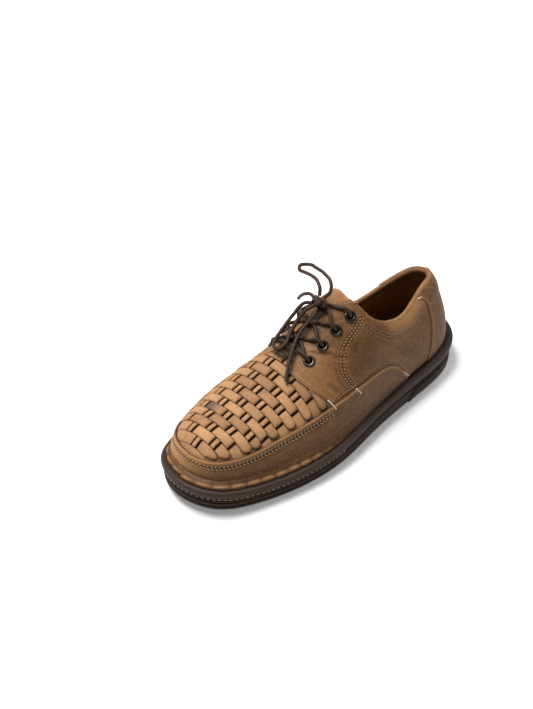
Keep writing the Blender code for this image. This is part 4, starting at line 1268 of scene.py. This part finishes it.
def add_course(heap, course, rng):
    """One crosswise strip, as the floats between the lengthwise strips that show through it. Next to
    the rim it has a single slit and a low tile, or its last float ends in a nose."""
    half = WARP_WIDTH / 2
    span = course * COURSE + 0.05, (course + 1) * COURSE - 0.05
    over = span[0] - 0.5, span[1] + 0.5
    start, end = rim_reach(span, -1), rim_reach(span, 1)
    arch = STRIP_ARCH * (1 - 0.4 * smooth((course - 11) / 3))
    nosed, under = (-1 if course < PLAIN_ENDS else 0), (-1,)
    for warp in warps_that_show(course):
        middle = (warp - (WARPS - 1) / 2) * WARP_PITCH + WEAVE_ASIDE
        if warp == 0:
            add_strip(heap, span, start, middle + half, TILE_ARCH, 0.0, under=under)
            start, nosed, under = middle + half + SLIT, 0, ()
            continue
        scuff = 0.85 if (course, warp - 2) == SCUFFED else 0.0
        rise = 0.55 if course > PLAIN_ENDS and under else arch
        tone = rng.uniform(-0.16, 0.2)
        add_strip(heap, span, start, middle - half - SLIT, rise, tone, nosed, False, scuff, under)
        nosed, under = 0, ()
        if warp == WARPS - 1 or (course, warp) == TOE_TILE:
            add_strip(heap, span, middle - half, end, TILE_ARCH, 0.0, under=(1,))
            return
        add_strip(heap, over, middle - half, middle + half, WARP_ARCH, rng.uniform(-0.12, 0.14), 0, True)
        start = middle + half + SLIT
    add_strip(heap, span, start, end, arch, rng.uniform(-0.16, 0.2), 1, under=(1,))


def make_apron():
    rng = np.random.default_rng(7)
    heap = Heap()
    for course in range(1, COURSES - 1):
        add_course(heap, course, rng)
    plug = (COURSES - 1) * COURSE + 0.05, WEAVE_END
    add_strip(heap, plug, rim_reach(plug, -1), rim_reach(plug, 1), 0.9, -0.1, under=(-1, 1))
    heap.make("woven_apron", [weave_leather])
    a, b = np.meshgrid(np.linspace(0, WEAVE_END, 90), np.linspace(-66, 66, 100), indexing="ij")
    point, normal, from_edge, _, station, from_line = on_sheet(a, b)
    there = from_edge > -2.4
    cells = there[:-1, :-1] | there[1:, :-1] | there[:-1, 1:] | there[1:, 1:]
    throat = (station < THROAT_BACK) & (from_line < THROAT_HALF)
    cells &= ~(throat[:-1, :-1] & throat[1:, 1:])
    # The lining under the weave, in painted shade.
    add_wall("apron_lining", point + normal * 0.45, point + normal * 0.05, [painted_shade_lining],
             face_values(0 * a, 0 * a + 0.85, 0.0, 0.85), cells)


# Tongue, eyelets and lace


def make_tongue():
    """The tongue, with its medial wing lifted free at the top, its top paler with painted light and its
    length in painted shade under the lace.
    """
    rows = np.linspace(TONGUE_ROOT, TONGUE_TOP, 90)
    across = np.linspace(-1, 1, 60)
    half = np.linspace(TONGUE_HALF - 5, TONGUE_HALF, len(rows))
    corner = smooth((129.0 - rows) / 9.0)
    x = across[None, :] * half[:, None]
    d = rows[:, None] + 4.0 * across[None, :] ** 4 * corner[:, None]
    free = smooth((138.0 - rows) / 16.0)[:, None] * smooth((0.25 - across) / 0.5)[None, :]
    point, normal = on_instep(x, d, 4.5 * free)
    edge = np.minimum((1 - np.abs(across))[None, :] * half[:, None], (rows - TONGUE_TOP)[:, None] + 0 * x)
    round_ = nose(edge, 1.1) * TONGUE / 2
    outer = point - normal * (TONGUE_DEPTH + TONGUE / 2 - round_)[..., None]
    inner = point - normal * (TONGUE_DEPTH + TONGUE / 2 + round_ * 0.98 + 0.02)[..., None]
    shadow = 0.82 * smooth((d - 131.0) / 10.0) * np.ones_like(x)
    # Worn edges, and painted light on the tongue's top.
    wear = 0.2 * band(edge, 1.2) + 0.75 * (1 - smooth((d - 128.0) / 10.0))
    piece = add_wall("tongue_leather", outer, inner, [quarter_leather, lining_leather],
                     face_values(wear, shadow, 0.0, 0.3))
    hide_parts("tongue")


def make_eyelets():
    """Turned rings with a rolled flange and a short barrel through the leather."""
    heap = Heap()
    seat = WALL + GAP
    roll = [(EYELET_FLANGE - 1.05 + 1.05 * math.cos(a), seat + 0.1 + 0.95 * math.sin(a))
            for a in np.linspace(-0.2, math.pi / 2, 8)]
    lip = [(EYELET_BORE + 0.9 - 0.9 * math.sin(a), seat + 0.2 + 0.8 * math.cos(a))
           for a in np.linspace(0.1, math.pi / 2, 7)]
    profile = roll + lip + [(EYELET_BORE, seat - 1.2), (EYELET_BORE, -0.2), (3.0, -0.2), (3.0, seat)]
    sides = 36
    for centre, normal in eyelet_seats():
        turn = np.array(Vector(normal).to_track_quat("Z", "Y").to_matrix())
        grid = []
        for radius, height in profile:
            angle = np.arange(sides) * 2 * np.pi / sides
            ring = np.stack([radius * np.cos(angle), radius * np.sin(angle), np.full(sides, height)], 1)
            grid.append(centre + ring @ turn.T)
        grid = np.array(grid)
        number = np.arange(grid.shape[0] * sides).reshape(-1, sides)
        right = np.roll(number, -1, 1)
        below, below_right = np.roll(number, -1, 0), np.roll(right, -1, 0)
        faces = np.stack([number, right, below_right, below], -1).reshape(-1, 4)
        heap.add(grid.reshape(-1, 3), faces)
    piece = heap.make("eyelets", [eyelet_metal])
    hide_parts(*["eyelet_%s_%d" % (side, k) for side in ("lateral", "medial") for k in (1, 2, 3, 4)])


def strand(start, end, sag=0.0):
    """A lace from one eyelet to another: up out of the first, over the throat, down into the other."""
    points = []
    for offset, station, away in ((start[0], start[1], 1), (end[0], end[1], -1)):
        toward = -1 if offset > 0 else 1
        dip = [on_instep(np.array(offset + toward * step), np.array(station), np.array(lift))[0]
               for step, lift in ((-0.6, 0.0), (-0.2, 2.4), (1.6, 4.9), (4.2, LACE_LIFT))]
        points += dip[::away]
    first, last = points[:4], points[4:]
    between = []
    for k in (0.25, 0.5, 0.75):
        offset = start[0] + (end[0] - start[0]) * k
        station = start[1] + (end[1] - start[1]) * k
        lift = LACE_LIFT - sag * math.sin(math.pi * k)
        between.append(on_instep(np.array(offset), np.array(station), np.array(lift))[0])
    return np.array(first + between + last)


def knot_face(step):
    direction = np.array(step) / np.linalg.norm(step)
    reach = 1 / np.linalg.norm(direction / np.array(KNOT_RADII))
    return direction * (reach + GAP)


# Routes of the bow, as steps from the knot to the lateral side, the toe and upwards
BOW_ROUTES = {
    "lace_loop_front": (
        (-11.0, 4.5, -3.8), (-14.6, 14.5, -12.6), (-14.2, 27.0, -20.0), (-12.5, 35.5, -23.8),
        (-9.0, 41.0, -26.0), (-3.6, 40.5, -25.4), (-1.9, 35.5, -22.6), (-4.8, 27.0, -18.0),
        (-6.8, 17.0, -11.8), (-5.0, 9.0, -5.0)),
    "lace_loop_back": (
        (3.5, -8.0, 7.0), (-0.5, -13.0, 12.5), (-9.0, -15.5, 14.5), (-20.0, -18.0, 13.5),
        (-29.0, -18.8, 12.5), (-34.0, -14.0, 11.8), (-30.0, -8.6, 12.0), (-21.0, -8.2, 13.0),
        (-11.5, -7.6, 12.8), (-4.0, -4.5, 9.5)),
    "lace_end_front": (
        (3.5, 9.5, -5.6), (2.2, 15.5, -10.8), (2.0, 23.0, -15.8), (4.1, 31.3, -21.3), (7.9, 39.2, -26.6),
        (12.2, 47.0, -33.2), (16.7, 53.5, -39.0)),
    "lace_end_back": (
        (-11.0, -2.0, 1.0), (-18.0, -3.0, -2.5), (-25.0, -5.5, -9.0), (-30.4, -8.4, -15.8)),
}


def lace_routes(knot):
    """Points on the bow's routes, from the knot's face and, for a loop, back to it."""
    toward = np.array([1.0, -1.0, 1.0])
    paths = {}
    for name, steps in BOW_ROUTES.items():
        points = [knot_face(steps[0]), *steps]
        if "loop" in name:
            points.append(knot_face(steps[-1]))
        paths[name] = knot + np.array(points) * toward
    return paths


def make_lace():
    knot = on_instep(np.array(0.0), np.array(KNOT_STATION), np.array(KNOT_LIFT))[0]
    rows, side = EYELET_STATIONS, EYELET_OFFSET
    heap = Heap()

    def lay(target, path):
        points, faces, caps, wear = tube_mesh(path, LACE / 2)
        target.add(points, faces, caps, wear=wear)

    lay(heap, smooth_path(strand((side, rows[0]), (-side, rows[0])), 0.9))
    for low, high in zip(rows, rows[1:]):
        lay(heap, smooth_path(strand((side, low), (-side, high)), 0.9))
        lay(heap, smooth_path(strand((-side, low), (side, high), 2.6), 0.9))
    piece = heap.make("lacing", [lace_cord])
    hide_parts("lace_bars")

    turn = np.linspace(0, 2 * np.pi, 90)
    across = np.sin(turn) + 2 * np.sin(2 * turn)
    ahead = np.cos(turn) - 2 * np.cos(2 * turn)
    trefoil = np.stack([across, ahead, -np.sin(3 * turn)], 1)
    heap = Heap()
    lay(heap, knot + trefoil * (1.75, 1.25, 1.7))
    piece = heap.make("bow_knot", [lace_cord])
    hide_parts("lace_knot")
    for name, route in lace_routes(knot).items():
        path = smooth_path(route, 0.9)
        points, faces, caps, wear = tube_mesh(path, LACE / 2)
        piece = add_piece(name.replace("lace_", "bow_"), points, faces, [lace_cord], None,
                          {"wear": wear}, caps)
        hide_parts(name)


# Stitches


def stitch_tree():
    """Geometry Nodes that lay one thread stitch at each point, along its attribute."""
    tree = bpy.data.node_groups.new("stitch_row", "GeometryNodeTree")
    face = tree.interface
    face.new_socket("Geometry", in_out="INPUT", socket_type="NodeSocketGeometry")
    for name in ("Length", "Width", "Height"):
        face.new_socket(name, in_out="INPUT", socket_type="NodeSocketFloat")
    face.new_socket("Thread", in_out="INPUT", socket_type="NodeSocketMaterial")
    face.new_socket("Geometry", in_out="OUTPUT", socket_type="NodeSocketGeometry")
    given = add_node(tree, "NodeGroupInput").outputs
    along, outward = [
        add_node(tree, "GeometryNodeInputNamedAttribute", {"data_type": "FLOAT_VECTOR"}, {"Name": name})
        for name in ("along", "outward")]
    first = add_node(tree, "FunctionNodeAlignRotationToVector", {"axis": "X"}, {"Vector": along.outputs[0]})
    second = add_node(tree, "FunctionNodeAlignRotationToVector", {"axis": "Z", "pivot_axis": "X"},
                      {"Rotation": first.outputs[0], "Vector": outward.outputs[0]})
    bead = add_node(tree, "GeometryNodeMeshUVSphere", None, {"Segments": 8, "Rings": 6, "Radius": 0.5})
    size = add_node(tree, "ShaderNodeCombineXYZ", None,
                    {"X": given["Length"], "Y": given["Width"], "Z": given["Height"]})
    laid = add_node(tree, "GeometryNodeInstanceOnPoints", None,
                    {"Points": given["Geometry"], "Instance": bead.outputs["Mesh"],
                     "Rotation": second.outputs[0], "Scale": size.outputs[0]})
    real = add_node(tree, "GeometryNodeRealizeInstances", None, {"Geometry": laid.outputs[0]})
    soft = add_node(tree, "GeometryNodeSetShadeSmooth", None, {"Geometry": real.outputs[0]})
    dyed = add_node(tree, "GeometryNodeSetMaterial", None,
                    {"Geometry": soft.outputs[0], "Material": given["Thread"]})
    add_node(tree, "NodeGroupOutput", None, {"Geometry": dyed.outputs[0]})
    return tree


STITCHES = stitch_tree()


def sew(name, rows, size, thread):
    """A piece of stitches at points with directions along and out of the surface."""
    points = np.concatenate([row[0] for row in rows]) * MM
    along = np.concatenate([row[1] for row in rows])
    outward = np.concatenate([row[2] for row in rows])
    mesh = bpy.data.meshes.new(name + "_points")
    mesh.from_pydata(points.tolist(), [], [])
    for key, value in (("along", along), ("outward", outward)):
        layer = mesh.attributes.new(key, "FLOAT_VECTOR", "POINT")
        layer.data.foreach_set("vector", value.astype(np.float32).ravel())
    carrier = bpy.data.objects.new(name + "_points", mesh)
    bpy.context.scene.collection.objects.link(carrier)
    modifier = carrier.modifiers.new("stitches", "NODES")
    modifier.node_group = STITCHES
    sockets = {item.name: item.identifier for item in STITCHES.interface.items_tree if item.in_out == "INPUT"}
    for key, value in zip(("Length", "Width", "Height"), size):
        modifier[sockets[key]] = value * MM
    modifier[sockets["Thread"]] = thread
    seen = carrier.evaluated_get(bpy.context.evaluated_depsgraph_get())
    made = bpy.data.meshes.new_from_object(seen)
    made.name = name
    bpy.data.objects.remove(carrier)
    piece = bpy.data.objects.new(name, made)
    bpy.context.scene.collection.objects.link(piece)
    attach(piece, "root")
    return piece


def spaced(path, normals, pitch):
    """Points every pitch along a path, with its direction and normal there."""
    run = run_along(path)
    where = np.arange(pitch / 2, run[-1], pitch)
    points = np.stack([np.interp(where, run, path[:, k]) for k in range(3)], 1)
    ahead = np.stack([np.interp(where + 0.2, run, path[:, k]) for k in range(3)], 1)
    normal = unit(np.stack([np.interp(where, run, normals[:, k]) for k in range(3)], 1))
    return points, unit(ahead - points + 1e-9), normal


def on_quarter(route, lateral, rise):
    """A path on a quarter's face through (station, height) pairs, with its normals."""
    route = np.array(route, float)
    run = run_along(route)
    curve = Sections(("run", "station", "height"), *np.column_stack([run, route]))
    where = np.linspace(0, run[-1], 300)
    u = FEATHER.side(lateral, curve.at("station", where))
    t = t_at_height(u, curve.at("height", where))
    normal = last_normal(u, t)
    swell, _ = padding(u, t, rim_t(u))
    point = last_point(u, t)
    return point + normal * (WALL + swell + crease_depth(point) + rise)[:, None], normal


# Stitch lines on the quarters, as (station, height) on the lining face
COLLAR_ROW = ((122.0, 88.0), (116.5, 82.0), (108.0, 75.2), (102.0, 71.0), (93.6, 67.3), (81.8, 65.2),
              (69.1, 65.2), (59.7, 66.5), (52.0, 69.0))
STRAP_ROW = ((122.0, 94.0), (132.0, 88.5), (142.5, 83.0), (149.0, 78.0), (154.0, 72.0), (156.5, 64.5),
             (153.5, 55.5), (151.5, 52.0))
PIPING_ROW = ((171.0, 51.0), (160.0, 52.4), (150.0, 52.8), (139.0, 54.0), (129.0, 55.3), (119.0, 55.2),
              (109.0, 52.0), (101.0, 45.5), (96.0, 40.0))
STRAP_ROWS_APART = 2.8
MEDIAL_COLLAR_DROP = 8.0

# Bar-tacks on the lateral side, from one (station, height) to another, and their rise above the quarter
BAR_TACKS = (
    ((179.1, 54.0), (175.0, 45.6), 0.7),
    ((151.3, 51.8), (146.7, 45.9), 0.7),
    ((94.7, 37.4), (84.9, 28.3), 0.5),
    ((57.2, 80.2), (51.6, 79.4), 0.5),
)

# Length, width and height of a stitch, and its pitch
SEAM_STITCH, SEAM_PITCH = (2.1, 0.9, 0.75), 2.8
EDGE_PITCH = 2.6
TACK_STITCH, TACK_PITCH = (1.7, 0.95, 1.0), 1.0
APRON_STITCH, APRON_PITCH = (2.7, 1.0, 0.8), 3.1
WELT_STITCH, WELT_PITCH = (3.2, 0.9, 0.9), 4.4


def shift(route, along, up):
    return [(station + along, height + up) for station, height in route]


def quarter_rows(rise):
    """Paths of the stitch rows on both quarters, with their normals."""
    rows = []
    for lateral in (True, False):
        drop = 0 if lateral else -MEDIAL_COLLAR_DROP
        rows.append(on_quarter(shift(COLLAR_ROW, 0, drop), lateral, rise))
        for aside in (-STRAP_ROWS_APART / 2, STRAP_ROWS_APART / 2):
            rows.append(on_quarter(shift(STRAP_ROW, aside, 0.25 * aside), lateral, rise))
        rows.append(on_quarter(shift(PIPING_ROW, 0, 1.0), lateral, rise))
    return rows


def counter_edges():
    """Paths just in front of the heel counter's edges."""
    heights = np.linspace(30.0, 80.0, 12)
    route = [(float(COUNTER_LINE.at("station", h)) + 0.7, h) for h in heights]
    return [on_quarter(route, lateral, 0.0) for lateral in (True, False)]


def on_wall(u, t, rise):
    """A path on the upper's outer face at places on the last, with its normals."""
    normal = last_normal(u, t)
    return last_point(u, t) + normal * (WALL + rise), normal


def panel_edges():
    """Paths on the quarters just above the side panels' folded edges."""
    paths = []
    for lateral in (True, False):
        u = FEATHER.side(lateral, np.linspace(PANEL_BACK + 2, QUARTER_FRONT, 160))
        paths.append(on_wall(u, seam_t(u) + 0.024, 0.0))
    return paths


def make_seam_stitches():
    """Rows on the quarters, along their front edges and along the throat."""
    rows = [spaced(*row, SEAM_PITCH) for row in quarter_rows(-0.1)]
    share = np.linspace(0.06, 0.97, 60)
    for column in quarter_columns(2):
        moved = skewed(np.full(len(share), column), share)
        low, high = seam_t(moved), top_t(moved)
        inset = FEATHER.side(column > 0, FEATHER.at(moved)[1] - 2.6)
        rows.append(spaced(*on_wall(inset, low + (high - low) * share, 0.1), EDGE_PITCH))
    for lateral in (True, False):
        d = np.linspace(118.0, 186.0, 120)
        edge = FEATHER.side(lateral, d)
        t = t_at_offset(edge, LINES.at("gap", d) + 3.0)
        rows.append(spaced(*on_wall(edge, t, 0.1), EDGE_PITCH))
    sew("seam_stitches", rows, SEAM_STITCH, pale_thread)


def make_bar_tacks():
    tacks = []
    for start, end, rise in BAR_TACKS:
        point, along, out = spaced(*on_quarter((start, end), True, rise), TACK_PITCH)
        tacks.append((point, unit(np.cross(out, along)), out))
    sew("bar_tacks", tacks, TACK_STITCH, tack_thread)


def make_apron_stitches():
    """Two rows of bold stitches in the apron's seam that lean against each other."""
    u = np.linspace(FEATHER.side(True, 178.0), FEATHER.side(False, 178.0), 900)
    seam = seam_t(u)
    length = np.linalg.norm(last_point(u, seam) - last_point(u, 0 * u), axis=-1)
    rows = []
    for aside, lean in ((-1.0, 0.7), (1.0, -0.7)):
        t = seam * (1 - (APRON_SEAM_DROP + aside) / length)
        point, along, out = spaced(*on_wall(u, t, 0.25), APRON_PITCH)
        across = np.cross(out, along)
        rows.append((point, unit(along + lean * across), out))
    sew("apron_stitches", rows, APRON_STITCH, pale_thread)


def make_welt_stitches():
    """The row sewn through the midsole's edge, from one side of the ball round the toe to the other."""
    shares = np.linspace(TREAD.side(True, 175.0), TREAD.side(False, 175.0), 900)
    station = TREAD.at(shares)[1]
    low, high = layer_height(station) + GAP, SOLE.at("top", station)
    path = place(*TREAD.at(shares), low + (high - low) * 0.145)
    out_x, out_d = [TREAD.read(TREAD.outward[:, k], shares) for k in (0, 1)]
    row = spaced(path, np.stack([out_x, -out_d, 0 * out_x], 1), WELT_PITCH)
    sew("welt_stitches", [row], WELT_STITCH, sole_thread)


add_camera()
add_studio()
make_lace()
make_sole()
make_insole()
make_quarters()
make_counter()
make_mudguard()
make_apron()
make_tongue()
make_eyelets()
make_seam_stitches()
make_bar_tacks()
make_apron_stitches()
make_welt_stitches()
